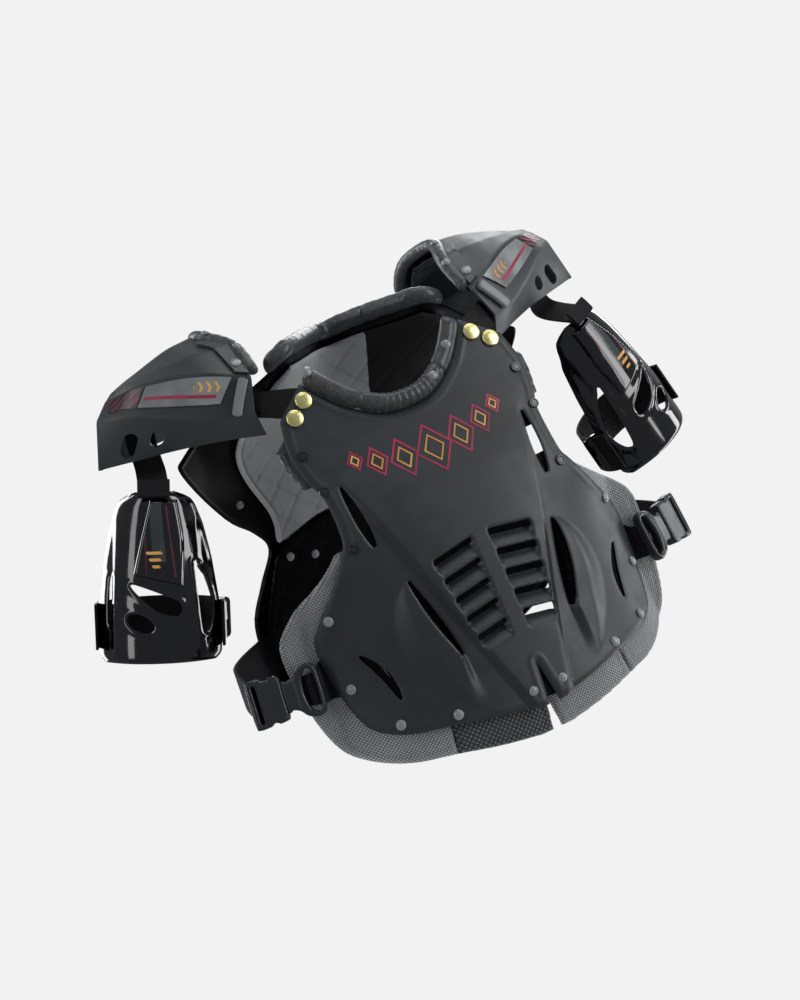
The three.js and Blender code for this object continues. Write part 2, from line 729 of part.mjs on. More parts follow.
// A prism through the cap's front flap, from an outline in X and Z.
const flapHoles = [slotOutline([capRimOut + capLength * 0.745, capLow + capRise * 0.35], [capRimOut + capLength * 0.82, capLow + capRise * 0.17], 14, 14),
  slotOutline([capRimOut + capLength * 0.6, capLow + capRise * 0.3], [capRimOut + capLength * 0.67, capLow + capRise * 0.19], 11, 11)];
function capShell() {
  let cap = solidOf(facingOut(thicken(capSkin, capWall)));
  for (const hole of flapHoles) cap = cap.subtract(solidOf(throughY(hole, -200, capMiddle)));
  return geometryFrom(cap);
}
addBothSides("shoulder_cup", capShell(), shellPlastic);


// A strip of the cap's front face between two columns and two rows, given as places in the grid.
function capPlace(c, r) {
  const [c0, r0] = [Math.min(Math.floor(c), capGrid.length - 2), Math.min(Math.floor(r), capGrid[0].length - 2)];
  const [u, v] = [c - c0, r - r0];
  const [near, far] = [capGrid[c0], capGrid[c0 + 1]];
  const turn = u > v ? far[r0] : near[r0 + 1];
  const place = near[r0].clone().addScaledVector(turn.clone().sub(near[r0]), Math.max(u, v));
  return place.addScaledVector(far[r0 + 1].clone().sub(turn), Math.min(u, v));
}
function capStrip(columns, lowRow, highRow, steps = 2) {
  return columns.map((c, i) => {
    const [low, high] = [lowRow[i], highRow[i]];
    return Array.from({ length: steps + 1 }, (_, k) => capPlace(c, low + ((high - low) * k) / steps));
  });
}
const facingFront = (surface) => withoutSlivers(mergeVertices(surface, 1e-3));
const plate = (grid, gap, thick) => facingOut(thicken(offset(facingFront(patch(grid, false)), gap + thick), thick));
const panelGrid = capStrip([0.42, 1, 1.5, 2, 2.5, 3], [1.3, 1.2, 1.12, 1.06, 1.05, 1.05], [1.93, 1.93, 1.92, 1.9, 1.85, 1.8]);
addBothSides("cup_panel", plate(panelGrid, capFaceGap, panelThick), panelFilm);
const barGrid = capStrip([0.1, 0.1 + barWidth / (0.26 * capLength)], [1.02, 1.02], [1.9, 1.9], 1);
addBothSides("cup_bar", plate(barGrid, capFaceGap, barHeight), shellPlastic);

// Padding inside the cap, near its rim
const liningGrid = capColumns.slice(0, 3).map((rows) => rows.slice(2).map(capPoint));
const liningSkin = offset(capSurface(liningGrid), -(capWall + liningGap));
addBothSides("cup_lining", facingOut(thicken(liningSkin, liningThick)), leatherette);

// The padded roll along the cap's rim, front to back over the crown
function bolster() {
  const rim = capGrid[0].slice(2);
  const arch = [...rim, ...rim.slice(0, -1).reverse().map(across)];
  const inward = capGrid[1].slice(2);
  const lean = [...inward, ...inward.slice(0, -1).reverse().map(across)].map((p, i) => arch[i].clone().sub(p).normalize());
  const [line, away] = [curveOf(arch, 14), curveOf(lean, 14).map((p) => p.normalize())];
  return sweep(
    line.map((p, i) => {
      const side = away[i].clone().cross(tangentAt(line, i)).normalize();
      return { at: p.clone().addScaledVector(away[i], bolsterWidth / 2 + 2.2), across: away[i], out: side };
    }),
    rollRing(bolsterWidth / 2, bolsterWidth * 0.42),
  );
}
addBothSides("shoulder_bolster", facingOut(bolster()), leatherette);

// Flat webbing through rows of points, each row running across it
function web(rows) {
  return facingOut(thicken(offset(patch(rows, false), webThick / 2), webThick));
}
// A row across the webbing, about its middle
const rowOf = (middle, wide, width) =>
  [-0.5, 0, 0.5].map((share) => middle.clone().addScaledVector(wide, share * width));

// Elastic from behind the chest plate's corner to the inside of the cap's front edge
function shoulderWeb() {
  const behind = chestWall + webThick / 2 + webGap;
  const [top, low] = [chestOutline[4], chestOutline[5]];
  const corner = (share, tuck) => {
    const [x, z] = [top[0] + (low[0] - top[0]) * share - tuck * 0.55, top[1] + (low[1] - top[1]) * share - tuck * 0.8];
    return vec(x, chestFront(x, z) + behind, z);
  };
  const atPlate = (tuck) => [0.12, 0.5, 0.88].map((share) => corner(share, tuck));
  const insideCap = (column) => [1.5, 1.1, 0.78].map((row) => capPlace(column, row).add(vec(0, capWall + webThick + 4.8, 0)));
  return web([atPlate(12), atPlate(1), insideCap(0.12), insideCap(0.34)]);
}
addBothSides("shoulder_web", shoulderWeb(), webbing);

// Upper-arm guards, in their own frame: across the arm, down it, and out from its face
const radians = THREE.MathUtils.degToRad;
const guardDown = vec(Math.sin(radians(guardSplay)), 0, -Math.cos(radians(guardSplay)));
const flatAcross = vec(Math.cos(radians(guardSplay)), 0, Math.sin(radians(guardSplay)));
const guardAcross = flatAcross.clone().multiplyScalar(Math.cos(radians(guardTurn))).add(vec(0, Math.sin(radians(guardTurn)), 0));
const guardFace = guardDown.clone().cross(guardAcross).normalize();
const guardHead = vec(guardOut, guardForward, guardTop);
const guardPoint = (a, d, h) =>
  guardHead.clone().addScaledVector(guardAcross, a).addScaledVector(guardDown, d).addScaledVector(guardFace, h);
function guardSurface(s, t, lift = 0) {
  const wide = column(guardSections, "down", "wide", t) * guardHalfWidth;
  const crown = column(guardSections, "down", "crown", t) * guardCrown;
  return guardPoint(s * wide, t * guardLength, crown * (1 - Math.abs(s) ** 2.3) + lift);
}
const shares = (...list) => list;
const guardAcrossLines = shares(-1, -0.9, -0.75, -0.55, -0.3, 0, 0.3, 0.55, 0.75, 0.9, 1);
const guardDownLines = shares(0, 0.06, 0.2, 0.4, 0.66, 0.95, 1);
// A prism along the guard's own facing direction, from an outline of across and down.
function throughGuard(outline) {
  const shape = new THREE.Shape(outline.map(([a, d]) => new THREE.Vector2(a, -d)));
  const geometry = new THREE.ExtrudeGeometry(shape, { depth: 3 * guardCrown, bevelEnabled: false });
  const frame = new THREE.Matrix4().makeBasis(guardAcross, guardDown.clone().negate(), guardFace);
  return geometry.translate(0, 0, -guardCrown).applyMatrix4(frame.setPosition(guardHead));
}
const guardShare = (pairs) => pairs.map(([a, d]) => [a * guardHalfWidth, d * guardLength]);
const ring = (a, d, wide, tall) =>
  Array.from({ length: 8 }, (_, i) => {
    const turn = (-2 * Math.PI * i) / 8;
    return [a + wide * Math.cos(turn), d + tall * Math.sin(turn)];
  });
const guardCuts = [
  guardShare([[0.42, 0.53], [-0.2, 0.61], [-0.38, 0.655], [-0.34, 0.72], [-0.04, 0.7], [0.21, 0.63]]),
  guardShare(ring(0.28, 0.765, 0.21, 0.06)),
  guardShare([[-0.62, 0.4], [-0.86, 0.63], [-0.84, 0.78], [-0.72, 0.84], [-0.66, 0.63]]),
  guardShare([[0.74, 0.5], [0.8, 0.52], [0.84, 0.76], [0.79, 0.76]]),
];
function guardShell() {
  const points = guardDownLines.map((t) => guardAcrossLines.map((s) => guardSurface(s, t)));
  let guard = solidOf(facingOut(thicken(facingFront(patch(points, false)), guardWall)));
  for (const cut of guardCuts) guard = guard.subtract(solidOf(facingOut(throughGuard(cut))));
  return geometryFrom(guard);
}
addBothSides("bicep_guard", guardShell(), glossPlastic);

function guardPanel() {
  const downs = shares(0.08, 0.2, 0.4, 0.5);
  const grid = downs.map((t) => [-0.5, -0.25, 0, 0.25, 0.44].map((s) => guardSurface(s * (0.86 + 0.14 * t), t)));
  return plate(grid, seatGap + guardFaceGap, guardPanelRise);
}
addBothSides("guard_panel", guardPanel(), glossPlastic);

// Webbing from inside the cap down to the front of the guard's top
function armStrap() {
  const inside = capPlace(2.86, 0.35).add(vec(-8, capWall + webThick + 11.4, 0));
  const below = vec(inside.x + 2, inside.y - 4, capLow - 2);
  const seat = guardSurface(0, 0, webThick / 2 + guardFaceGap + 1.4);
  const tail = guardSurface(0, 0.03, webThick / 2 + guardFaceGap + 0.8);
  const peak = capPlace(4, 4);
  const top = vec(peak.x - armWebWidth / 2 - 0.5, capMiddle, peak.z - capWall - 1);
  const hanging = [inside, below, seat, tail].map((place) => rowOf(place, guardAcross, armWebWidth));
  return web([rowOf(top, vec(1, 0, 0), armWebWidth), ...hanging]);
}
addBothSides("bicep_strap", armStrap(), webbing);

// Elastic loop behind the guard, for the upper arm
function armBand() {
  const [start, end, steps] = [-8, 188, 12];
  const rows = Array.from({ length: steps + 1 }, (_, i) => {
    const turn = radians(start + ((end - start) * i) / steps);
    const a = (guardHalfWidth + webThick + seatGap) * Math.cos(turn);
    return rowOf(guardPoint(a, bandDown * guardLength, -bandDepth * Math.sin(turn)), guardDown, bandWidth);
  });
  return web(rows);
}
addBothSides("arm_band", armBand(), webbing);

// Waist buckles
const [turned, tilted] = [radians(buckleTurn), radians(buckleTilt)];
const buckleAlong = vec(Math.cos(turned), Math.sin(turned), 0);
const buckleHigh = vec(-Math.sin(turned) * Math.sin(tilted), Math.cos(turned) * Math.sin(tilted), Math.cos(tilted));
const buckleFrame = new THREE.Matrix4().makeBasis(buckleAlong, buckleHigh, buckleAlong.clone().cross(buckleHigh));
const bucklePlace = vec(buckleOut, buckleForward, buckleMiddle);
function buckleBody(outline, hole, thick) {
  const prism = (points, depth) => {
    const shape = new THREE.Shape(points.map(([a, h]) => new THREE.Vector2(a, h * buckleHeight)));
    const body = new THREE.ExtrudeGeometry(shape, { depth, bevelEnabled: false });
    return solidOf(facingOut(body.translate(0, 0, -depth / 2)));
  };
  const body = geometryFrom(prism(outline, thick).subtract(prism(hole, 2 * thick)));
  return facingOut(body.applyMatrix4(buckleFrame.clone().setPosition(bucklePlace)));
}
const socketIn = -socketLength;
const socketOutline = [[0, -0.46], [0, 0.46], [-3, 0.5], [socketIn + 4, 0.47], [socketIn, 0.4], [socketIn, -0.4], [socketIn + 4, -0.47], [-3, -0.5]];
const socketHole = [[-4, -0.4], [-7.5, -0.4], [-7.5, 0.4], [-4, 0.4]];
addBothSides("buckle_socket", buckleBody(socketOutline, socketHole, buckleThick), bucklePlastic);
const plugThick = buckleThick - 3;
const [plugOut, plugIn] = [socketIn - seatGap, socketIn - seatGap - plugLength];
const plugOutline = [[plugOut, -0.32], [plugOut, 0.32], [plugOut - 5, 0.3], [plugOut - 11, 0.36], [plugOut - 17, 0.5], [plugIn + 8, 0.56], [plugIn + 2, 0.5], [plugIn, 0.3], [plugIn, -0.3], [plugIn + 2, -0.5], [plugIn + 8, -0.56], [plugOut - 17, -0.5], [plugOut - 11, -0.36], [plugOut - 5, -0.3]];
const loopHole = [[plugIn + 4, -0.36], [plugIn + 4, 0.36], [plugIn + 9, 0.45], [plugIn + 14, 0.36], [plugIn + 16, 0], [plugIn + 14, -0.36], [plugIn + 9, -0.45]];
addBothSides("buckle_plug", buckleBody(plugOutline, loopHole, plugThick), bucklePlastic);

const bucklePoint = (a, n) => vec(a, 0, n).applyMatrix4(buckleFrame.clone().setPosition(bucklePlace));
const buckleRow = (a, n) => rowOf(bucklePoint(a, n), buckleHigh, waistWebWidth);
// Webbing from between the plate and its liner to the plug's loop
function frontWeb() {
  const offPlate = chestWall + webThick / 2 + webGap;
  const follow = (x) =>
    [-0.5, 0, 0.5].map((share) => {
      const z = buckleMiddle + share * waistWebWidth;
      return vec(x, chestBase(x, z) + offPlate, z);
    });
  const offPlug = -(plugThick / 2 + webThick / 2 + webGap / 2);
  return web([follow(chestX(0.84)), follow(chestX(0.93)), follow(chestX(1)), buckleRow(plugIn + 1, offPlug), buckleRow(plugIn + 12, offPlug)]);
}
addBothSides("waist_web_front", frontWeb(), webbing);
// Webbing from the socket back to the inside of the back plate's waist wing
function rearWeb() {
  const offPlate = backWall + webThick / 2 + webGap;
  const follow = (x) =>
    [-0.5, 0, 0.5].map((share) => {
      const z = buckleMiddle + share * waistWebWidth;
      return vec(x, backRear(x, z) - offPlate, z);
    });
  const offSocket = -(buckleThick / 2 + webThick / 2 + seatGap);
  const middle = vec(buckleOut - 22, 0, buckleMiddle);
  const free = rowOf(middle, vec(0, 0, 1), waistWebWidth);
  return web([buckleRow(-16, offSocket), buckleRow(-4, offSocket), free, follow(backX(0.92)), follow(backX(0.8))]);
}
addBothSides("waist_web_rear", rearWeb(), webbing);

// Round fasteners seated on the chest plate along its surface's own direction
const domeProfile = [[0, 0], [1, 0], [0.8, 0.65], [0, 1]];
function fastener(x, z, diameter, rise) {
  const profile = domeProfile.map(([r, h]) => new THREE.Vector2((r * diameter) / 2, h * rise));
  const dome = new THREE.LatheGeometry(profile, 8);
  const step = 2;
  const tiltX = (chestFront(x + step, z) - chestFront(x - step, z)) / (2 * step);
  const tiltZ = (chestFront(x, z + step) - chestFront(x, z - step)) / (2 * step);
  const out = vec(tiltX, -1, tiltZ).normalize();
  const turn = new THREE.Quaternion().setFromUnitVectors(vec(0, 1, 0), out);
  const foot = vec(x, chestFront(x, z), z);
  const highest = Math.max(
    ...Array.from({ length: 8 }, (_, i) => {
      const [dx, dz] = [Math.cos((i * Math.PI) / 4), Math.sin((i * Math.PI) / 4)].map((s) => (s * diameter) / 2);
      return vec(x + dx, chestFront(x + dx, z + dz), z + dz).sub(foot).dot(out);
    }),
  );
  foot.addScaledVector(out, Math.max(0, highest) + fastenerGap);
  return facingOut(dome.applyQuaternion(turn).translate(foot.x, foot.y, foot.z));
}
const snapPlaces = [{ out: 0.54, down: 0.044 }, { out: 0.63, down: 0.079 }];
snapPlaces.forEach(({ out, down }, i) =>
  addBothSides("snap_button_" + (i + 1), fastener(chestX(out), chestZ(down), snapDiameter, 3), goldMetal),
);
const rivetPlaces = [
  { out: 0.685, down: 0.175 },
  { out: 0.675, down: 0.278 },
  { out: 0.665, down: 0.442 },
  { out: 0.905, down: 0.607 },
  { out: 0.925, down: 0.8 },
  { out: 0.785, down: 0.922 },
  { out: 0.51, down: 0.94 },
];
rivetPlaces.forEach(({ out, down }, i) =>
  addBothSides("rivet_" + (i + 1), fastener(chestX(out), chestZ(down), rivetDiameter, 2.6), darkMetal),
);

export default root;
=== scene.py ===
# Chest and back protector with shoulder caps and upper-arm guards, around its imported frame.
# Shapes are worked out in millimetres and become metres in makeMesh.
import math

import bmesh
import bpy
import numpy as np
from mathutils import Matrix, Vector


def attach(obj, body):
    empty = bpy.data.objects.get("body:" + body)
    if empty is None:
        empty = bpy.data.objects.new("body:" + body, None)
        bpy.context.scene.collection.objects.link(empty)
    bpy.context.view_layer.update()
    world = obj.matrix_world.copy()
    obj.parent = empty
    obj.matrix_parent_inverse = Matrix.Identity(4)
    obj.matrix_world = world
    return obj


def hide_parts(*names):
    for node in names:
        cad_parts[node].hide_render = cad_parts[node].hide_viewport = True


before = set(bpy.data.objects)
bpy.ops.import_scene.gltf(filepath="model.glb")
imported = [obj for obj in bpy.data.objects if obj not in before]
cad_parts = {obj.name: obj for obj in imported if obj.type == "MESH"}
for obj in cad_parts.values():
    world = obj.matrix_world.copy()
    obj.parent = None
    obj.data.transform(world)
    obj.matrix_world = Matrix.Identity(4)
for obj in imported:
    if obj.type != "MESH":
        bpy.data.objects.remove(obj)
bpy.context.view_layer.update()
print("frame loaded")

hands = (("right", 1), ("left", -1))  # name endings, and the sign of X on each side


# Numbers

def smoothStep(t):
    # 3t² - 2t³ from 0 to 1, held at 0 and 1 beyond
    t = np.clip(t, 0.0, 1.0)
    return t * t * (3 - 2 * t)


def lookUp(rows, at, which, blur=0.03):
    # a column of a table read at any place, with its corners rounded by averaging seven near readings
    keys = [row[0] for row in rows]
    values = [row[which] for row in rows]
    offsets = np.linspace(-blur, blur, 7)
    return sum(np.interp(at + offset, keys, values) for offset in offsets) / 7


def fallOff(distance, reach):
    # 1 at distance 0, falling by the square to 0 at the reach
    return (1 - np.clip(distance / reach, 0, 1)) ** 2


def bell(offset, width):
    # a Gauss curve: 1 at offset 0 and 1/e at the width
    return np.exp(-((offset / width) ** 2))


def unit(v):
    # each vector divided by its length
    return v / np.maximum(np.linalg.norm(v, axis=-1, keepdims=True), 1e-9)


def smoothLine(points, steps, corners=(), closed=False):
    # Catmull-Rom curve through the points, straight-ended at the listed corners
    p = np.asarray(points, float)
    n = len(p)
    t = np.linspace(0, 1, steps, endpoint=False)[:, None]
    parts = []
    for i in range(n if closed else n - 1):
        p1, p2 = p[i], p[(i + 1) % n]
        before, after = p[(i - 1) % n], p[(i + 2) % n]
        if i in corners or (not closed and i == 0):
            before = 2 * p1 - p2
        if (i + 1) % n in corners or (not closed and i + 2 >= n):
            after = 2 * p2 - p1
        curve = 2 * p1 + (p2 - before) * t + (2 * before - 5 * p1 + 4 * p2 - after) * t**2
        parts.append(0.5 * (curve + (3 * p1 - before - 3 * p2 + after) * t**3))
    if not closed:
        parts.append(p[-1:])
    return np.concatenate(parts)


def evenLine(points, count):
    # the same line with points at equal distances along it
    lengths = np.concatenate([[0], np.cumsum(np.linalg.norm(np.diff(points, axis=0), axis=1))])
    at = np.linspace(0, lengths[-1], count)
    return np.stack([np.interp(at, lengths, points[:, k]) for k in range(points.shape[1])], 1)


def insideDistance(x, z, outline):
    # distance to a closed outline, positive inside: nearest of its segments, with the crossing count for the sign
    best = np.full(x.shape, 1e9)
    inside = np.zeros(x.shape, bool)
    for (ax, az), (bx, bz) in zip(outline, np.roll(outline, -1, axis=0)):
        dx, dz = bx - ax, bz - az
        t = np.clip(((x - ax) * dx + (z - az) * dz) / max(dx * dx + dz * dz, 1e-12), 0, 1)
        best = np.minimum(best, np.hypot(x - ax - t * dx, z - az - t * dz))
        if abs(dz) > 1e-12:
            crosses = ((az > z) != (bz > z)) & (x < ax + dx * (z - az) / dz)
            inside ^= crosses
    return np.where(inside, best, -best)


def roundBox(a, d, low, high, top, bottom, radius):
    # how far a place lies inside a box with round corners
    qa = np.abs(a - (low + high) / 2) - (high - low) / 2 + radius
    qd = np.abs(d - (top + bottom) / 2) - (bottom - top) / 2 + radius
    return radius - np.hypot(np.maximum(qa, 0), np.maximum(qd, 0)) - np.minimum(np.maximum(qa, qd), 0)


# Meshes

def makeMesh(name, points, faces, uv=None):
    # points in mm, faces as lists of point numbers, and one uv pair a point
    mesh = bpy.data.meshes.new(name)
    faces = faces.tolist() if isinstance(faces, np.ndarray) else faces
    mesh.from_pydata((np.asarray(points) * 0.001).tolist(), [], faces)
    if uv is not None:
        layer = mesh.uv_layers.new(name="UVMap")
        loops = np.empty(len(mesh.loops), np.int32)
        mesh.loops.foreach_get("vertex_index", loops)
        layer.data.foreach_set("uv", np.asarray(uv, np.float32)[loops].ravel())
    mesh.update()
    piece = bpy.data.objects.new(name, mesh)
    bpy.context.scene.collection.objects.link(piece)
    return piece


def applyModifiers(piece):
    # the mesh as its modifiers leave it takes the place of the old one
    done = bpy.data.meshes.new_from_object(piece.evaluated_get(bpy.context.evaluated_depsgraph_get()))
    piece.modifiers.clear()
    piece.data = done


def tidyMesh(piece, near=2e-5):
    # points nearer than near, in metres, are joined, and the faces turned outwards
    shape = bmesh.new()
    shape.from_mesh(piece.data)
    bmesh.ops.remove_doubles(shape, verts=shape.verts, dist=near)
    bmesh.ops.dissolve_degenerate(shape, edges=shape.edges, dist=1e-6)
    bmesh.ops.recalc_face_normals(shape, faces=shape.faces)
    shape.to_mesh(piece.data)
    shape.free()


def shadeSmooth(piece, angle=38):
    # smooth, but for edges sharper than the angle in degrees
    mesh = piece.data
    mesh.polygons.foreach_set("use_smooth", np.ones(len(mesh.polygons), bool))
    mesh.set_sharp_from_angle(angle=math.radians(angle))


def settle(piece, material, replaced=(), angle=38):
    # every piece rides on the one body, stands for its CAD node and takes its materials
    piece.data.materials.clear()
    for one in material if isinstance(material, (list, tuple)) else [material]:
        piece.data.materials.append(one)
    shadeSmooth(piece, angle)
    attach(piece, "root")
    if replaced:
        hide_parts(*replaced)


def wallOf(piece, thick, offset=-1):
    # a sheet becomes a wall, thick in mm: behind its front at offset -1, to both sides at 0
    wall = piece.modifiers.new("wall", "SOLIDIFY")
    wall.thickness = thick * 0.001
    wall.offset = offset
    applyModifiers(piece)


def gridFaces(rows, columns, closed=False):
    # the four-sided faces between neighbours of a grid, joined round its columns if closed
    i, j = np.meshgrid(np.arange(rows - 1), np.arange(columns if closed else columns - 1), indexing="ij")
    k = (j + 1) % columns
    faces = np.stack([i * columns + j, i * columns + k, (i + 1) * columns + k, (i + 1) * columns + j], -1)
    return faces.reshape(-1, 4)


def cutSheet(us, vs, field):
    # the part of a grid where field is positive, with its border laid on the field's zero line cell by cell
    u, v = np.meshgrid(us, vs, indexing="ij")
    f = field(u, v)
    f = np.where(np.abs(f) < 1e-4, 1e-4, f)
    inside = f > 0
    number = np.full(f.shape, -1)
    count = int(inside.sum())
    number[inside] = np.arange(count)
    points = [np.stack([u[inside], v[inside]], 1)]
    crossings = []
    for low, high in (((slice(None, -1), slice(None)), (slice(1, None), slice(None))),
                      ((slice(None), slice(None, -1)), (slice(None), slice(1, None)))):
        change = inside[low] != inside[high]
        span = np.where(change, f[low] - f[high], 1)
        t = np.where(change, f[low] / span, 0)
        ids = np.full(change.shape, -1)
        ids[change] = count + np.arange(int(change.sum()))
        count += int(change.sum())
        cross = [a[low] + (a[high] - a[low]) * t for a in (u, v)]
        points.append(np.stack([cross[0][change], cross[1][change]], 1))
        crossings.append(ids)
    along, down = crossings
    marks = [number[:-1, :-1], number[1:, :-1], number[1:, 1:], number[:-1, 1:],
             along[:, :-1], down[1:, :], along[:, 1:], down[:-1, :]]
    corners = [inside[:-1, :-1], inside[1:, :-1], inside[1:, 1:], inside[:-1, 1:]]
    code = sum(c.astype(int) << k for k, c in enumerate(corners))
    faces = []
    for case in range(1, 16):
        isIn = [bool(case >> k & 1) for k in range(4)]
        loop = []
        for k in range(4):
            loop += [k] if isIn[k] else []
            loop += [4 + k] if isIn[k] != isIn[(k + 1) % 4] else []
        cells = code == case
        faces += np.stack([marks[k][cells] for k in loop], 1).tolist()
    return np.concatenate(points), faces


def closedPad(name, flat, faces, front, back):
    # two sheets that meet at their borders
    n = len(flat)
    x, z = flat[:, 0], flat[:, 1]
    points = np.concatenate([np.stack([x, front, z], 1), np.stack([x, back, z], 1)])
    faces = faces + [[k + n for k in reversed(face)] for face in faces]
    piece = makeMesh(name, points, faces)
    tidyMesh(piece)
    return piece


def sweepSolid(name, path, across, out, ring):
    # a capped tube: ring[i, j] is how far point j of section i stands across and out
    rows, columns = ring.shape[:2]
    points = path[:, None] + across[:, None] * ring[..., :1] + out[:, None] * ring[..., 1:]
    faces = gridFaces(rows, columns, closed=True).tolist()
    faces.append(list(range(columns))[::-1])
    faces.append([(rows - 1) * columns + k for k in range(columns)])
    around = np.linspace(0, 1, columns)
    along = np.concatenate([[0], np.cumsum(np.linalg.norm(np.diff(path, axis=0), axis=1))])
    uv = np.stack(np.meshgrid(along, around, indexing="ij"), -1).reshape(-1, 2)
    piece = makeMesh(name, points.reshape(-1, 3), faces, uv)
    tidyMesh(piece)
    return piece


def roundEnds(t, share=0.03):
    # the section shrinks to nothing over the last few millimetres of each end
    return np.sqrt(1 - fallOff(np.minimum(t, 1 - t), share)) * 0.98 + 0.02


def ovalRing(sides, half, deep, scale):
    # at each place an oval of cosine by half and sine by deep, times the scale there
    angle = np.linspace(0, math.tau, sides, endpoint=False)
    ring = np.stack([np.cos(angle) * half, np.sin(angle) * deep], -1)
    return ring[None] * np.asarray(scale)[:, None, None]


def tangents(path):
    # unit steps from each point's neighbour before to the one after
    return unit(np.gradient(path, axis=0))


def bothSides(name, points, faces, make):
    # the same shape for +X and, mirrored with its faces turned round, for -X
    for suffix, places, turned in (("right", points, faces), ("left", points * [-1, 1, 1], [f[::-1] for f in faces])):
        make(makeMesh(name + "_" + suffix, places, turned), suffix)


def wallPair(name, points, faces, thick, material, node=None, slot="panel_film"):
    # a sheet given its wall and material, and its mirror image; the slot is not used
    def make(piece, suffix):
        wallOf(piece, thick)
        settle(piece, material, [f"{node}_{suffix}"] if node else ())

    bothSides(name, points, faces, make)


def sweepPair(name, path, across, out, ring, material, node=None):
    # the swept solid and its mirror image
    for suffix, flip in hands:
        mirror = np.array([flip, 1, 1])
        piece = sweepSolid(f"{name}_{suffix}", path * mirror, across * mirror, out * mirror, ring)
        settle(piece, material, [f"{node}_{suffix}"] if node else ())


print("helpers ready")


# Materials

def linear(hexColour):
    # sRGB hex to linear light
    parts = [int(hexColour[k : k + 2], 16) / 255 for k in (1, 3, 5)]
    return (*[c / 12.92 if c <= 0.04045 else ((c + 0.055) / 1.055) ** 2.4 for c in parts], 1.0)


def addNode(tree, kind, links=None, **settings):
    # a node with its settings, and a link or a plain value for each input named
    node = tree.nodes.new("ShaderNode" + kind)
    for name, value in settings.items():
        setattr(node, name, value)
    for name, value in (links or {}).items():
        if isinstance(value, bpy.types.NodeSocket):
            tree.links.new(value, node.inputs[name])
        else:
            node.inputs[name].default_value = value
    return node


def startMaterial(name, **shader):
    # a Principled material with its values set, and the object coordinates that patterns read
    material = bpy.data.materials.new(name)
    material.use_nodes = True
    tree = material.node_tree
    bsdf = tree.nodes["Principled BSDF"]
    for key, value in shader.items():
        bsdf.inputs[key.replace("_", " ")].default_value = value
    place = addNode(tree, "TexCoord").outputs["Object"]
    return material, tree, bsdf, place


def feed(tree, bsdf, **sources):
    # each source goes to the shader's input of that name
    for key, source in sources.items():
        tree.links.new(source, bsdf.inputs[key.replace("_", " ")])


def noise(tree, place, scale, detail, distortion=0.0):
    # noise with scale cells to a metre
    links = {"Vector": place, "Scale": scale, "Detail": detail, "Distortion": distortion}
    return addNode(tree, "TexNoise", links).outputs["Fac"]


def spanTo(tree, value, low, high, toLow=0.0, toHigh=1.0):
    # the span from low to high laid evenly on the one from toLow to toHigh
    ends = {"From Min": low, "From Max": high, "To Min": toLow, "To Max": toHigh}
    return addNode(tree, "MapRange", {"Value": value, **ends}).outputs["Result"]


def maths(tree, operation, *values):
    # one step of arithmetic
    return addNode(tree, "Math", dict(enumerate(values)), operation=operation).outputs[0]


def mixColours(tree, factor, first, second):
    # the first colour at 0, the second at 1, and even shares of both between
    return addNode(tree, "Mix", {0: factor, 6: first, 7: second}, data_type="RGBA").outputs[2]


def bumpOf(tree, height, strength, distance):
    # the surface tilts as a height from 0 to 1, distance in metres, would tilt it
    return addNode(tree, "Bump", {"Height": height, "Strength": strength, "Distance": distance}).outputs["Normal"]


def mouldedPlastic(name, dark, light, roughness, grain, depth, coat=0.0, specular=0.5):
    # injection moulded plastic: an even colour with faint flow clouds, and a fine grain from the mould
    material, tree, bsdf, place = startMaterial(name, IOR=1.49, Coat_Weight=coat, Coat_Roughness=0.06,
                                                Specular_IOR_Level=specular)
    cloud = spanTo(tree, noise(tree, place, 9.0, 3.0), 0.3, 0.7)
    fine = noise(tree, place, 1 / (grain * 0.001), 2.0)
    scuff = noise(tree, place, 60.0, 6.0)
    feed(tree, bsdf, Base_Color=mixColours(tree, cloud, linear(dark), linear(light)),
         Roughness=spanTo(tree, scuff, 0.35, 0.7, roughness - 0.05, roughness + 0.07),
         Normal=bumpOf(tree, fine, 0.6, depth * 0.001))
    return material


def airMesh(name, dark, light, pitch, depth, sheen=0.35):
    # knitted air mesh over foam: two crossed rows of threads on the slant, with holes between them
    material, tree, bsdf, place = startMaterial(name, Roughness=0.85, Sheen_Weight=sheen, Sheen_Roughness=0.5,
                                                Specular_IOR_Level=0.5 if sheen else 0.15)
    waves = []
    for angle in (45, -45):
        turned = addNode(tree, "Mapping", {"Vector": place, "Rotation": (0, math.radians(angle), 0)})
        # bands repeat every 2 pi / 20 of a unit at scale 1
        links = {"Vector": turned.outputs["Vector"], "Scale": 314 / pitch, "Distortion": 0.4, "Detail": 1.0}
        waves.append(addNode(tree, "TexWave", links, wave_profile="SIN").outputs["Fac"])
    weave = maths(tree, "MULTIPLY", *waves)
    tint = maths(tree, "MULTIPLY", weave, noise(tree, place, 18.0, 4.0))
    feed(tree, bsdf, Base_Color=mixColours(tree, spanTo(tree, tint, 0.0, 0.5), linear(dark), linear(light)),
         Normal=bumpOf(tree, weave, 0.9, depth * 0.001))
    return material


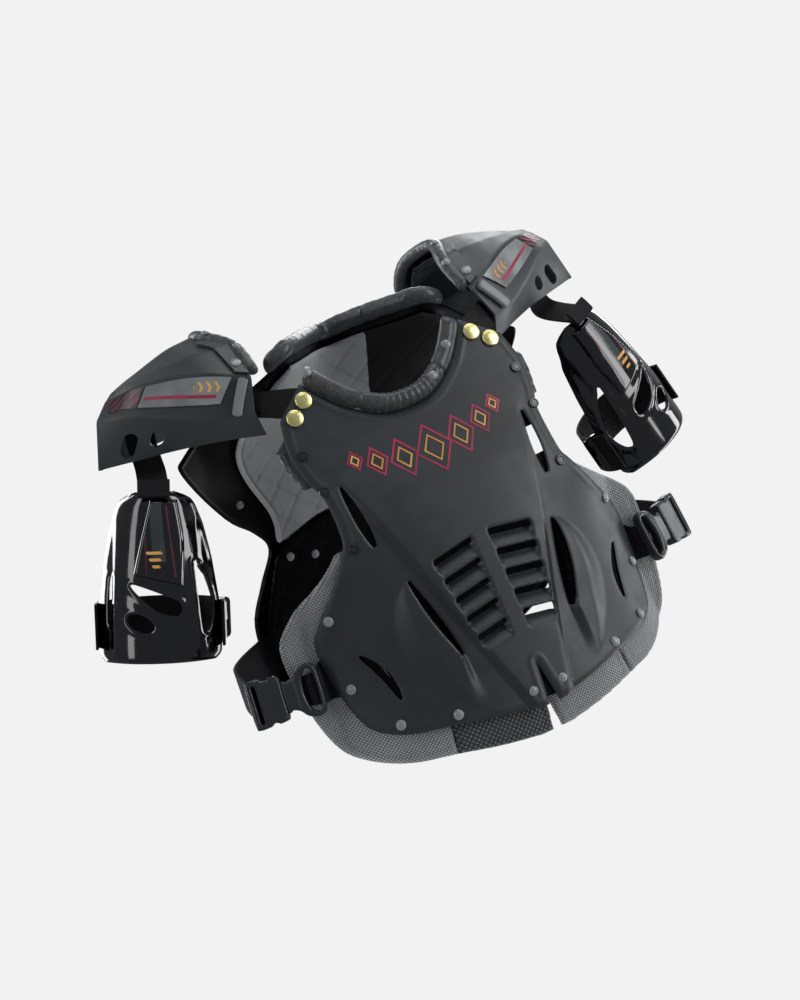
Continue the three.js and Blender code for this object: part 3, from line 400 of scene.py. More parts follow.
def linedCloth(name, middle, paintedShadeColour, reach, below):
    # brushed tricot over foam: fine even nap, grey, with painted shade as a black patch past one line and above
    # another
    material, tree, bsdf, place = startMaterial(name, Roughness=0.9, Sheen_Weight=0.06, Sheen_Roughness=0.5)
    apart = addNode(tree, "SeparateXYZ", {"Vector": place}).outputs
    outside = maths(tree, "GREATER_THAN", apart["X"], reach)
    paintedShadeMask = maths(tree, "MULTIPLY", outside, maths(tree, "GREATER_THAN", apart["Z"], below))
    grey = mixColours(tree, noise(tree, place, 28.0, 4.0), linear(middle[0]), linear(middle[1]))
    feed(tree, bsdf, Base_Color=mixColours(tree, paintedShadeMask, grey, linear(paintedShadeColour)),
         Normal=bumpOf(tree, noise(tree, place, 1600.0, 2.0), 0.5, 0.0003))
    return material


def grainedLeather(name, dark, light, roughness=0.42):
    # embossed artificial leather: pebbles about 1.6 mm across, drawn coarse so that they show
    material, tree, bsdf, place = startMaterial(name, IOR=1.5, Coat_Weight=0.4, Coat_Roughness=0.22)
    pebbles = addNode(tree, "TexVoronoi", {"Vector": place, "Scale": 1 / 0.0016}, feature="DISTANCE_TO_EDGE")
    raised = spanTo(tree, pebbles.outputs["Distance"], 0.0, 0.25)
    wrinkle = noise(tree, place, 130.0, 4.0, 0.8)
    # the colour follows the wrinkles that also raise the bump: random tone, and painted shade in the wrinkle hollows
    # with painted highlight on their crests
    mottleAndPaintedFoldShade = spanTo(tree, wrinkle, 0.25, 0.85)
    feed(tree, bsdf, Base_Color=mixColours(tree, mottleAndPaintedFoldShade, linear(dark), linear(light)),
         Roughness=spanTo(tree, raised, 0.0, 1.0, roughness + 0.2, roughness),
         Normal=bumpOf(tree, maths(tree, "ADD", raised, wrinkle), 0.8, 0.0004))
    return material


def wovenTape(name, dark, light, pitch=1.6):
    # polyester webbing: cords side by side along the tape, crossed by a fine weft, read from the tape's own UV in mm
    material, tree, bsdf, _ = startMaterial(name, Roughness=0.7, Specular_IOR_Level=0.25)
    apart = addNode(tree, "SeparateXYZ", {"Vector": addNode(tree, "UVMap").outputs["UV"]}).outputs
    cords = [maths(tree, "SINE", maths(tree, "MULTIPLY", apart[axis], math.tau / width))
             for axis, width in (("X", pitch), ("Y", pitch * 0.8))]
    ribs = maths(tree, "MULTIPLY_ADD", maths(tree, "MULTIPLY", *cords), 0.5, 0.5)
    feed(tree, bsdf, Base_Color=mixColours(tree, ribs, linear(dark), linear(light)),
         Normal=bumpOf(tree, ribs, 0.8, 0.0004))
    return material


def bareMetal(name, colour, roughness):
    # pressed and plated metal: fine turned scratches in its roughness
    material, tree, bsdf, place = startMaterial(name, Metallic=1.0, Base_Color=linear(colour))
    fine = noise(tree, place, 900.0, 3.0)
    feed(tree, bsdf, Roughness=spanTo(tree, fine, 0.3, 0.7, roughness - 0.06, roughness + 0.08))
    return material


def printedFilm(name, inner, outer, roughness=0.35):
    # screen printed film: ink that drifts from one shade to the other across the piece
    material, tree, bsdf, place = startMaterial(name, Roughness=roughness, Coat_Weight=0.3, Coat_Roughness=0.15)
    drift = spanTo(tree, noise(tree, place, 22.0, 2.0), 0.38, 0.62)
    feed(tree, bsdf, Base_Color=mixColours(tree, drift, linear(inner), linear(outer)))
    return material


shellPlastic = mouldedPlastic("moulded_polyethylene", "#1f2427", "#252a2d", 0.45, 0.55, 0.08)
capPlastic = mouldedPlastic("moulded_polyethylene_caps", "#2a2f31", "#33383a", 0.45, 0.55, 0.08)
barPlastic = mouldedPlastic("moulded_nylon_bar", "#6a7072", "#767c7d", 0.42, 0.8, 0.05)
glossPlastic = mouldedPlastic("gloss_abs", "#020203", "#050607", 0.1, 6.0, 0.02, coat=0.7)
backPlastic = mouldedPlastic("black_polyethylene", "#020203", "#050506", 0.34, 2.0, 0.03, specular=0.22)
bucklePlastic = mouldedPlastic("acetal_buckle", "#1b1e1f", "#252a2b", 0.32, 1.2, 0.02, coat=0.15)
rimMesh = airMesh("air_mesh_rim", "#565a5c", "#b2b7b8", 2.2, 0.5)
# a darker copy of the air mesh, for the left bottom liner only: painted shade
paintedShadeMesh = airMesh("air_mesh_painted_shade", "#15181a", "#636869", 3.4, 0.9)
blackMesh = airMesh("air_mesh_black", "#010101", "#050606", 3.0, 0.4, sheen=0.0)
leather = grainedLeather("grained_leather", "#15181a", "#3b4143")
tape = wovenTape("polyester_webbing", "#050506", "#121316")
elastic = wovenTape("ribbed_elastic", "#020202", "#090a0b", 2.4)
goldPlate = bareMetal("gold_plated_brass", "#f6eda4", 0.3)
rivetMetal = mouldedPlastic("anodised_rivet", "#6f7577", "#7f8587", 0.26, 0.8, 0.02, coat=0.4)
darkRivet = mouldedPlastic("blackened_rivet", "#15181a", "#1e2224", 0.3, 0.8, 0.02, coat=0.3)
# on the back liner the black patch past x 27 mm and above z -98 mm is painted shade over its shaded right side
innerCloth = linedCloth("brushed_tricot", ("#797d7e", "#979b9c"), "#020203", 0.027, -0.098)
# lighter than the liner grey: painted highlight on the liner's lit edge
pipingPaintedHighlight = linedCloth("tricot_piping_painted_highlight", ("#8e9293", "#a8abab"), "#a0a3a3", 9.0, 0.0)
crimsonInk = printedFilm("crimson_ink", "#a82a4e", "#80203c")
deepInk = printedFilm("deep_crimson_ink", "#571a34", "#421428")
slateFilm = printedFilm("slate_film", "#343b3d", "#2b3133", 0.2)
goldInk = printedFilm("ochre_ink", "#c8843f", "#d8b060")
satinFilm = printedFilm("satin_film", "#5c6062", "#8a8d8e", 0.4)
blackFilm = printedFilm("black_film", "#0c0d0e", "#15171a", 0.3)
print("materials ready")

# Chest plate

chest = {"top": -33.0, "height": 322.0, "halfWidth": 160.0, "setOut": 70.0, "lean": 120.0, "wrap": 60.0,
         "wall": 3.5, "fieldRise": 5.0, "ventRows": 5, "ventPitch": 18.6, "ventSlot": 7.2, "ventDepth": 8.0,
         "ventSlope": 0.17, "scoopRise": 9.5, "grid": 1.5}
chestSections = [(-0.1, -0.12, 0.2), (0.0, 0.0, 0.2), (0.16, 0.19, 0.2), (0.29, 0.4, 0.36), (0.45, 0.58, 0.5),
                 (0.6, 0.69, 0.95), (0.8, 0.81, 1.0), (1.0, 1.0, 1.08), (1.15, 1.05, 1.12)]
chestEdge = [(0.0, 0.16), (0.16, 0.148), (0.33, 0.1), (0.45, 0.04), (0.51, 0.0), (0.71, 0.075), (0.75, 0.16),
             (0.73, 0.24), (0.69, 0.3), (0.7, 0.41), (0.74, 0.45), (0.84, 0.53), (0.96, 0.62), (1.0, 0.675),
             (0.985, 0.79), (0.94, 0.89), (0.88, 0.93), (0.75, 0.955), (0.54, 0.965), (0.3, 0.985), (0.09, 1.0)]


def chestX(share):
    # a share of the half width, in mm
    return share * chest["halfWidth"]


def chestZ(share):
    # a share of the height down from the top, in mm
    return chest["top"] - share * chest["height"]


def chestAt(pairs):
    # pairs of such shares, in mm
    return np.array([(chestX(out), chestZ(down)) for out, down in pairs])


chestHalf = smoothLine(chestAt(chestEdge), 6, corners=(4, 5, 20))
chestNoSlit = np.concatenate([chestHalf, (chestHalf * [-1, 1])[::-1]])
slitFoot = [[5.2, chestZ(1.003)], [0.0, chestZ(0.89)], [-5.2, chestZ(1.003)]]
chestWhole = np.concatenate([chestHalf, slitFoot, (chestHalf * [-1, 1])[::-1]])
ladder = {"top": chestZ(0.514), "out": chestX(0.32), "low": chestX(0.24), "rib": chestX(0.045)}
scoop = {"tip": (chestX(0.47), chestZ(0.57)), "tail": (chestX(0.36), chestZ(0.8)), "out": chestX(0.66),
         "low": chestZ(0.95)}


def chestBase(x, z):
    # the middle line leans forward, and the sides fall back by the 2.6th power of the distance out
    down = (chest["top"] - z) / chest["height"]
    lean = lookUp(chestSections, down, 1, 0.06) * chest["lean"]
    wrap = lookUp(chestSections, down, 2, 0.08) * chest["wrap"]
    return -chest["setOut"] - lean + wrap * (np.abs(x) / chest["halfWidth"]) ** 2.6


def fieldHeight(x, z):
    # the raised middle field: full inside a line that narrows downward, a smooth step at its edge
    down = (chest["top"] - z) / chest["height"]
    edge = chestX(0.57 - 0.64 * (down - 0.29))
    return chest["fieldRise"] * smoothStep((edge - np.abs(x)) / 8 + 0.5) * smoothStep((down - 0.24) / 0.14)


def ladderEdge(level):
    # the ladder's outer edge runs straight in from its top row to its last
    t = np.clip((ladder["top"] - level) / (chest["ventRows"] * chest["ventPitch"]), 0, 1)
    return ladder["out"] + (ladder["low"] - ladder["out"]) * t


def scoopLine(z):
    # the scoop's inner line comes in by the 1.4th power of the way down
    t = np.maximum((scoop["tip"][1] - z) / (scoop["tip"][1] - scoop["tail"][1]), 0)
    return scoop["tip"][0] + (scoop["tail"][0] - scoop["tip"][0]) * t**1.4


def scoopHeight(x, z):
    # a teardrop bulge that starts steeply at its inner line and runs out to the side
    out = np.abs(x)
    t = np.clip((scoop["tip"][1] - z) / (scoop["tip"][1] - scoop["low"]), 0, 1)
    line = scoopLine(np.maximum(z, scoop["tail"][1]))
    reach = np.maximum((scoop["out"] - line) * np.sin(math.pi * t**0.8) ** 0.7, 0.01)
    body = smoothStep(1.7 - 1.7 * (out - line) / reach) * np.sin(math.pi * t**0.7)
    return chest["scoopRise"] * body * smoothStep((out - line) / (2.5 + 16 * t**3) + 0.5)


def ventPlace(x, z):
    # distance out, height along the slanted rows, and that height counted in rows
    out = np.abs(x)
    level = z + chest["ventSlope"] * out
    return out, level, (ladder["top"] - level) / chest["ventPitch"]


def ventSink(x, z):
    # each louvre drops quickly at its slot and climbs back to the face below it
    out, level, t = ventPlace(x, z)
    row = t % 1
    slot = chest["ventSlot"] / chest["ventPitch"]
    ramp = np.where(row < slot, smoothStep(row / slot), np.clip((0.9 - row) / (0.9 - slot), 0, 1))
    sides = smoothStep((out - ladder["rib"]) / 3.5) * smoothStep((ladderEdge(level) - out) / 5)
    return chest["ventDepth"] * ramp * sides * ((t > 0) & (t < chest["ventRows"]))


def ventHole(x, z):
    # how far a place lies inside the nearest louvre opening, a box with round corners
    out, _, t = ventPlace(x, z)
    down = np.where(t % 1 > 0.65, t % 1 - 1, t % 1) * chest["ventPitch"]
    row = np.floor(t + 0.35)
    top = ladder["top"] - row * chest["ventPitch"]
    low, high = ladder["rib"] + 1.5, ladderEdge(top) - 1.5
    return np.where((row >= 0) & (row < chest["ventRows"]),
                    roundBox(out, down, low, high, 0, chest["ventSlot"], 2.2), -20.0)


def slotOutline(start, end, wide0, wide1, bend=0.0):
    # a leaf: half its width, times a flattened sine, to both sides of a bowed middle line
    t = np.linspace(0, 1, 14)
    along = np.subtract(end, start)
    across = np.array([-along[1], along[0]]) / np.hypot(*along)
    half = (wide0 + (wide1 - wide0) * t) * 0.5 * np.sin(math.pi * (t * 0.92 + 0.04)) ** 0.55
    middle = np.asarray(start) + along * t[:, None] + across * (bend * np.sin(math.pi * t))[:, None]
    return np.concatenate([middle + across * half[:, None], (middle - across * half[:, None])[::-1]])


armEnds, hipEnds = ((0.585, 0.28), (0.555, 0.455)), ((0.83, 0.72), (0.73, 0.86))  # as shares of the plate
armSlot = slotOutline(*chestAt(armEnds), 7, 11)
hipSlot = slotOutline(*chestAt(hipEnds), 8, 8, -4)
slitRun = np.linspace(scoop["tip"][1], scoop["tail"][1], 12)
slitLine = scoopLine(slitRun)
slitHalf = 0.6 + 3.3 * np.sin(np.linspace(0.1, 3.0, 12)) ** 0.8
scoopSlit = np.concatenate([np.stack([slitLine - 1.6 * slitHalf - 0.5, slitRun], 1),
                            np.stack([slitLine + slitHalf - 0.5, slitRun], 1)[::-1]])


def chestHoles(x, z):
    # how far a place lies inside the nearest hole
    out = np.abs(x)
    holes = [insideDistance(out, z, hole) for hole in (armSlot, hipSlot, scoopSlit)]
    return np.maximum.reduce([*holes, ventHole(x, z)])


def chestField(x, z):
    # how far a place lies inside the outline and clear of the holes
    return np.minimum(insideDistance(x, z, chestWhole), -chestHoles(x, z))


def chestFront(x, z):
    # the plate's front: its base, less what is raised, plus the louvres' drop
    return chestBase(x, z) - fieldHeight(x, z) - scoopHeight(x, z) + ventSink(x, z)


def makeChestPlate():
    # a sheet cut to the outline and its slots, its free edges rolled back, then given its wall
    step = chest["grid"]
    flat, faces = cutSheet(np.arange(-162, 162 + step, step), np.arange(-357, -30, step), chestField)
    x, z = flat.T
    edge = insideDistance(x, z, chestWhole)
    hole = -chestHoles(x, z)
    rolled = 2.0 * fallOff(edge, 4.0) + 0.9 * fallOff(hole, 2.2)
    y = chestFront(x, z) + rolled - 0.5 * bell(edge - 6.5, 1.6)
    plate = makeMesh("chest_plate", np.stack([x, y, z], 1), faces)
    wallOf(plate, chest["wall"])
    settle(plate, shellPlastic, ["chest_shell"], angle=40)


makeChestPlate()
print("chest plate made")

# Liners

liner = {"thick": 11.0, "margin": 27.0, "inset": 20.0, "gap": 4.4, "flare": 0.1, "rim": 5.5, "ribPitch": 5.4,
         "grid": 2.2}


def padFront(x, z, gap=liner["gap"]):
    # the plate's base, its wall and a gap, flaring out evenly past the plate's side
    held = np.minimum(np.abs(x), chest["halfWidth"])
    return chestBase(held, z) + chest["wall"] + gap + liner["flare"] * (np.abs(x) - held)


def crownedPad(name, field, xs, zs, front, thick, rim, groove=0.0, groovePlace=7.0, ribs=None):
    # both faces swell by a quarter circle in from the border, and a stitched line runs round at a fixed distance
    flat, faces = cutSheet(xs, zs, field)
    x, z = flat.T
    inward = np.maximum(field(x, z), 0)
    swell = np.sqrt(1 - fallOff(inward, rim))
    near = front(x, z)
    face = near + thick / 2 * (1 - swell) + groove * bell(inward - groovePlace, 1.1)
    if ribs is not None:
        face = face + ribs(x, z) * swell
    back = near + thick / 2 * (1 + swell)
    return closedPad(name, flat, faces, face, back)


seamPoint = chestX(0.54), chestZ(0.965)


def ribbonField(x, z):
    # from its margin outside the plate to its inset behind it, wider at the hips so that it backs their slots
    edge = insideDistance(x, z, chestNoSlit)
    margin = liner["margin"] * smoothStep((-168 - z) / 78)
    inset = liner["inset"] + 22 * smoothStep((-228 - z) / 26) * smoothStep((np.abs(x) - 84) / 14)
    return np.minimum(edge + margin, inset - edge)


def seamSide(x, z):
    # how far a place lies outside the slanted seam between the hip and bottom liners
    return (np.abs(x) - seamPoint[0]) * 0.99 + (z - seamPoint[1]) * 0.13


def hipField(x, z):
    # the ribbon outside the seam and below the armhole
    return np.minimum.reduce([ribbonField(x, z), seamSide(x, z) - 0.5, (-176 - z) * 0.8])


def bottomField(x, z):
    # the ribbon inside the seam, away from a notch that widens downward
    notch = np.abs(x) - 0.7 - 0.13 * np.maximum(-352 - z, 0)
    return np.minimum.reduce([ribbonField(x, z), 0.8 - seamSide(x, z), notch, (-315 - z)])


def hipRibs(x, z):
    # piping that runs along the armhole's edge in even rows, and fades out by the hip
    inward = insideDistance(x, z, chestNoSlit) + liner["margin"] * smoothStep((-168 - z) / 78)
    fade = smoothStep((z + 272) / 26)
    return -1.1 * np.abs(np.sin(math.pi * inward / liner["ribPitch"])) * fade


def sideSpans(side, low, high, bottom, top, step):
    # grid lines for one side, always from low x to high x
    xs = np.arange(low, high, step) * side
    return (xs if side > 0 else xs[::-1]), np.arange(bottom, top, step)


for suffix, side in hands:
    xs, zs = sideSpans(side, 84, 192, -374, -170, liner["grid"])
    hip = crownedPad("hip_liner_" + suffix, hipField, xs, zs, padFront, liner["thick"], liner["rim"], 1.1, 8, hipRibs)
    settle(hip, rimMesh, ["hip_pad_" + suffix])
    xs, zs = sideSpans(side, 1, 96, -388, -310, liner["grid"])
    low = crownedPad("bottom_liner_" + suffix, bottomField, xs, zs, padFront, liner["thick"], liner["rim"], 1.1, 8)
    # the two bottom liners are alike; the left one takes the darker copy of the mesh as painted shade
    settle(low, rimMesh if suffix == "right" else paintedShadeMesh, ["bottom_pad_" + suffix])

chestPadEdge = [(0.0, 0.166), (0.16, 0.154), (0.33, 0.106), (0.45, 0.046), (0.66, 0.105), (0.79, 0.15),
                (0.785, 0.2), (0.755, 0.262), (0.0, 0.262)]
chestPadHalf = chestAt(chestPadEdge)
chestPadLine = np.concatenate([chestPadHalf, (chestPadHalf * [-1, 1])[::-1]])


def chestPadField(x, z):
    # the upper liner's outline
    return insideDistance(x, z, chestPadLine)


upper = crownedPad("chest_liner", chestPadField, np.arange(-130, 130, 2.2), np.arange(-120, -34, 2.2),
                   lambda x, z: padFront(x, z, 0.6), liner["thick"], 5.0, 1.4, 4.6)
settle(upper, leather, ["chest_pad"])


def meshBehind(name, x, z, off):
    # a sheet of black mesh through a grid of places, off mm behind the back of the plate
    y = chestFront(x, z) + chest["wall"] + off
    piece = makeMesh(name, np.stack([x, y, z], -1).reshape(-1, 3), gridFaces(*x.shape))
    wallOf(piece, 0.8, 0)
    tidyMesh(piece, 1e-6)
    settle(piece, blackMesh, ())


def ribsAcross(z, pitch):
    # flat-topped ribs from 0 to 1, one to every pitch mm of height
    return smoothStep(np.abs(np.sin(math.pi * z / pitch)) * 2 - 0.5)


def makeOpeningMeshes():
    # behind the slit in the lower edge, both ends of the arm slots, the hip slots and the scoops' slits
    x, z = np.meshgrid(np.linspace(-9, 9, 13), np.linspace(chestZ(0.86), chestZ(0.985), 40))
    meshBehind("slit_mesh", x, z, 0.8 + 0.5 * ribsAcross(z, 5))
    for name, ends, start, end in (("arm_top", armEnds, -0.06, 0.27), ("arm_foot", armEnds, 0.7, 1.04),
                                   ("hip", hipEnds, -0.02, 1.02)):
        top, foot = chestAt(ends)
        share = np.linspace(start, end, 60)[:, None]
        x = top[0] + share * (foot[0] - top[0]) + np.linspace(-7, 7, 9)
        z = top[1] + share * (foot[1] - top[1]) + np.zeros(9)
        for suffix, flip in hands:
            meshBehind(f"{name}_mesh_{suffix}", x * flip, z, 0.8)
    run = np.linspace(scoop["tip"][1] + 3, scoop["tail"][1] - 3, 110)
    x, z = scoopLine(run)[:, None] + np.linspace(-7.5, 7.5, 11), np.repeat(run[:, None], 11, 1)
    for suffix, flip in hands:
        meshBehind("scoop_mesh_" + suffix, x * flip, z, 0.6 + 1.3 * ribsAcross(z, 9))


makeOpeningMeshes()
print("front liners made")

# Back plate and its liners

back = {"top": -22.0, "height": 345.0, "halfWidth": 172.0, "setOut": 60.0, "wall": 3.5, "wrap": 50.0,
        "collarReach": 80.0, "collarForward": 70.0, "padThick": 9.0, "quilt": 34.0,
        "grid": 2.0}
backSections = [(-0.1, 0.53, 0.0, 1.1), (0.0, 0.75, 0.0, 0.95), (0.08, 0.95, 0.3, 0.75), (0.18, 1.2, 0.55, 0.3),
                (0.3, 1.4, 0.6, 0.0), (0.55, 1.55, 0.65, 0.0), (0.8, 1.45, 0.8, 0.0), (1.05, 1.3, 0.9, 0.0)]
backEdge = [(0.0, 0.0), (0.23, -0.02), (0.42, -0.03), (0.56, 0.01), (0.78, 0.08), (1.0, 0.145), (1.04, 0.19),
            (0.84, 0.36), (0.7, 0.43), (0.64, 0.49), (0.76, 0.57), (0.89, 0.66), (0.9, 0.79), (0.8, 0.89),
            (0.5, 0.97), (0.0, 1.0)]
backPadEdge = [(0.0, 0.02), (0.4, 0.0), (0.54, 0.05), (0.7, 0.2), (0.57, 0.39), (0.575, 0.48),
               (0.3, 0.455), (0.0, 0.455)]
kidneyPadEdge = [(0.0, 0.465), (0.3, 0.465), (0.58, 0.492), (0.72, 0.58), (0.84, 0.68), (0.84, 0.78),
                 (0.74, 0.87), (0.46, 0.94), (0.0, 0.97)]


def backAt(pairs):
    # pairs of shares of the back plate's half width and height, in mm
    return np.array([(out * back["halfWidth"], back["top"] - down * back["height"]) for out, down in pairs])


def backLine(pairs, steps=5, corners=()):
    # half an outline in shares, smoothed and then mirrored to close it
    half = smoothLine(backAt(pairs), steps, corners)
    return np.concatenate([half, (half * [-1, 1])[::-1]])


def backRear(x, z):
    # the plate stands behind the origin, its hips come forward by the square, and its collar beside the neck
    down = (back["top"] - z) / back["height"]
    out = np.abs(x)
    hips = lookUp(backSections, down, 2, 0.05) * back["wrap"] * (out / back["halfWidth"]) ** 2
    neck = smoothStep(out / back["collarReach"]) * (
        1 - 0.75 * smoothStep((out - back["collarReach"]) / back["collarReach"]))
    collar = lookUp(backSections, down, 3, 0.05) * back["collarForward"] * neck
    return lookUp(backSections, down, 1, 0.05) * back["setOut"] - hips - collar


def backRidges(x, z):
    # seven raised bars across the spine, 27 mm apart, between two channels that follow the waist
    down = (back["top"] - z) / back["height"]
    out = np.abs(x)
    row = (down - 0.28) / 0.078
    bars = smoothStep((0.33 - np.abs(row % 1 - 0.5)) / 0.12) * ((row > 0) & (row < 7))
    half = 46 - 14 * np.sin(math.pi * np.clip((down - 0.28) / 0.55, 0, 1))
    bars = bars * smoothStep((half - out) / 5) * smoothStep((out - 3.5) / 2.5)
    channel = bell(out - half - 17, 3.2) * smoothStep((down - 0.2) / 0.06) * smoothStep((0.9 - down) / 0.05)
    return 3.4 * bars - 1.6 * channel


backOutline = backLine(backEdge)


def makeBackPlate():
    # a sheet cut to the outline, its edge turned in by the square, then given its wall
    step = back["grid"]
    field = lambda x, z: insideDistance(x, z, backOutline)
    flat, faces = cutSheet(np.arange(-182, 183, step), np.arange(-369, -8, step), field)
    x, z = flat.T
    edge = field(x, z)
    y = backRear(x, z) + backRidges(x, z) * smoothStep(edge / 18) - 2.0 * fallOff(edge, 4)
    plate = makeMesh("back_plate", np.stack([x, y, z], 1), [face[::-1] for face in faces])
    wallOf(plate, back["wall"])
    settle(plate, backPlastic, ["back_shell"])


def quilted(x, z):
    # shallow channels on a slanted grid, pressed into the side that meets the wearer
    lines = [np.abs((x * s + z) % back["quilt"] - back["quilt"] / 2) for s in (1, -1)]
    return sum(1.6 * bell(line, 1.7) for line in lines)


makeBackPlate()
for name, node, pairs, near, corners, cloth in (("back_liner", "back_pad", backPadEdge, 4.1, (1,), innerCloth),
                                                ("kidney_liner", "kidney_pad", kidneyPadEdge, 8.1, (), blackMesh)):
    line = backLine(pairs, 4, corners)
    pad = crownedPad(name, lambda x, z, line=line: insideDistance(x, z, line),
                     np.arange(-150, 151, 2.4), np.arange(-362, -18, 2.4),
                     lambda x, z, near=near: backRear(x, z) - near - back["padThick"], back["padThick"], 5.0,
                     0.8, 8.0, quilted)
    settle(pad, cloth, [node])


def makeBackPiping():
    # a piped border along the back liner's armhole edge, its lighter grey a painted highlight on that lit edge
    line = evenLine(smoothLine(backAt(backPadEdge[2:6]), 12), 60)
    path = np.stack([line[:, 0] + 1.5, backRear(line[:, 0], line[:, 1]) - 13.5, line[:, 1]], 1)
    along = tangents(path)
    across = unit(np.cross(along, [0, 1, 0]))
    rings = ovalRing(14, 2.6, 2.0, roundEnds(np.linspace(0, 1, 60)))
    sweepPair("back_piping", path, across, unit(np.cross(along, across)), rings, pipingPaintedHighlight)


makeBackPiping()
print("back made")

# Padded rolls

roll = {"wide": 17.0, "deep": 15.0, "reach": 8.6, "sides": 20, "places": 150}


def makeRoll(name, node, path, across, out, swell):
    # the oval along its path, swell scaling it from place to place
    scale = roundEnds(np.linspace(0, 1, len(path))) * swell
    ring = ovalRing(roll["sides"], roll["wide"] / 2, roll["deep"] / 2, scale)
    settle(sweepSolid(name, path, across, out, ring), leather, [node])
    return path


def makeFrontRoll():
    # an oval carried along the neckline, gathered in the middle and pinched at two mitres
    half = chestAt(chestEdge[:5])
    line = smoothLine(np.concatenate([(half[1:] * [-1, 1])[::-1], half]), 24)
    edge = np.stack([line[:, 0], chestFront(line[:, 0], line[:, 1]) + chest["wall"] / 2, line[:, 1]], 1)
    edge = evenLine(edge, roll["places"])
    along = tangents(edge)
    into = unit(np.stack([-along[:, 2], 0 * along[:, 0], along[:, 0]], 1))
    path = edge + into * roll["reach"]
    x = path[:, 0]
    gathers = 0.045 * np.sin(math.tau * np.arange(len(x)) / 5) * smoothStep((34 - np.abs(x - 2)) / 10)
    swell = 1 + gathers - 0.16 * bell(np.abs(x) - 40, 1.3)
    return makeRoll("neck_trim_front", "neck_roll_front", path, into, [0.0, -1.0, 0.0] + 0 * path, swell)


def makeBackRoll():
    # an oval carried along the collar, with two slow sines for its folds
    xs = np.linspace(-0.53, 0.53, 60) * back["halfWidth"]
    top = lookUp(backEdge[:5], np.abs(xs) / back["halfWidth"], 1, 0.05)
    z = back["top"] - top * back["height"]
    path = np.stack([xs, backRear(xs, z) - back["wall"] / 2, z + roll["wide"] / 2 - 2.0], 1)
    path = evenLine(path, roll["places"])
    along = tangents(path)
    out = unit(np.stack([along[:, 1], -along[:, 0], 0 * along[:, 0]], 1))
    folds = 1 + 0.02 * np.sin(np.arange(len(path)) * 0.55) + 0.015 * np.sin(np.arange(len(path)) * 1.3)
    return makeRoll("neck_trim_back", "neck_roll_back", path, [0.0, 0.0, 1.0] + 0 * path, out, folds)


frontPath = makeFrontRoll()
collarPath = makeBackRoll()
print("rolls made")

# Shoulder caps

cap = {"length": 134.0, "halfDepth": 84.0, "middle": 30.0, "rimOut": 118.0, "rise": 94.0, "low": -67.0, "wall": 3.2,
       "faceGap": 0.9, "panelThick": 1.2, "barWide": 9.0, "barHigh": 5.0, "bolster": 14.0}
capColumns = np.array([
    [(0.02, 0.95, 0.0), (0.05, 0.99, 0.24), (-0.03, 0.89, 0.56), (-0.04, 0.5, 0.86), (0.1, 0.0, 1.0)],
    [(0.24, 0.73, 0.06), (0.26, 0.88, 0.28), (0.19, 0.77, 0.71), (0.22, 0.45, 0.89), (0.27, 0.0, 0.98)],
    [(0.51, 0.43, 0.1), (0.51, 0.6, 0.41), (0.4, 0.5, 0.78), (0.43, 0.26, 0.86), (0.45, 0.0, 0.91)],
    [(0.78, 0.18, 0.12), (0.73, 0.3, 0.56), (0.61, 0.25, 0.79), (0.61, 0.12, 0.82), (0.62, 0.0, 0.83)],
    [(1.0, 0.0, 0.14), (0.9, 0.0, 0.58), (0.8, 0.0, 0.72), (0.74, 0.0, 0.78), (0.69, 0.0, 0.8)]])
capFront = np.stack([cap["rimOut"] + capColumns[..., 0] * cap["length"],
                     cap["middle"] - capColumns[..., 1] * cap["halfDepth"],
                     cap["low"] + capColumns[..., 2] * cap["rise"]], -1)
capBack = capFront[:, 3::-1] * [1, -1, 1] + [0, 2 * cap["middle"], 0]
capControl = np.concatenate([capFront, capBack], 1)
capControl = np.concatenate([2 * capControl[:1] - capControl[1:2], capControl,
                             2 * capControl[-1:] - capControl[-2:-1]])
capControl = np.concatenate([2 * capControl[:, :1] - capControl[:, 1:2], capControl,
                             2 * capControl[:, -1:] - capControl[:, -2:-1]], 1)


def capPoint(c, r, blurC=0.28, blurR=0.07):
    # the control grid read bilinearly at 25 near places and averaged, which rounds its creases
    total = 0.0
    for dc in np.linspace(-blurC, blurC, 5):
        for dr in np.linspace(-blurR, blurR, 5):
            u, v = np.clip(c + dc + 1, 0, 5.999), np.clip(r + dr + 1, 0, 9.999)
            i, j = np.floor(u).astype(int), np.floor(v).astype(int)
            u, v = (u - i)[..., None], (v - j)[..., None]
            total = total + (capControl[i, j] * (1 - u) * (1 - v) + capControl[i + 1, j] * u * (1 - v)
                             + capControl[i, j + 1] * (1 - u) * v + capControl[i + 1, j + 1] * u * v)
    return total / 25


def capNormal(c, r):
    # the cross product of small steps along the columns and the rows
    step = 0.02
    alongC = capPoint(c + step, r) - capPoint(c - step, r)
    alongR = capPoint(c, r + step) - capPoint(c, r - step)
    return unit(np.cross(alongC, alongR))


def flapHole(x, z, start, end, wide):
    # how far a place lies inside a round-ended slot
    (ax, az), (bx, bz) = start, end
    dx, dz = bx - ax, bz - az
    t = np.clip(((x - ax) * dx + (z - az) * dz) / (dx * dx + dz * dz), 0, 1)
    return wide / 2 - np.hypot(x - ax - t * dx, z - az - t * dz)


def capField(c, r):
    # everywhere on the cap but the two holes in its front flap
    places = capPoint(c, r)
    x, z = places[..., 0], places[..., 2]
    at = lambda out, up: (cap["rimOut"] + cap["length"] * out, cap["low"] + cap["rise"] * up)
    holes = np.maximum(flapHole(x, z, at(0.765, 0.33), at(0.8, 0.23), 11.5),
                       flapHole(x, z, at(0.61, 0.29), at(0.625, 0.25), 11))
    return np.where(r < 3, -holes, 10.0)


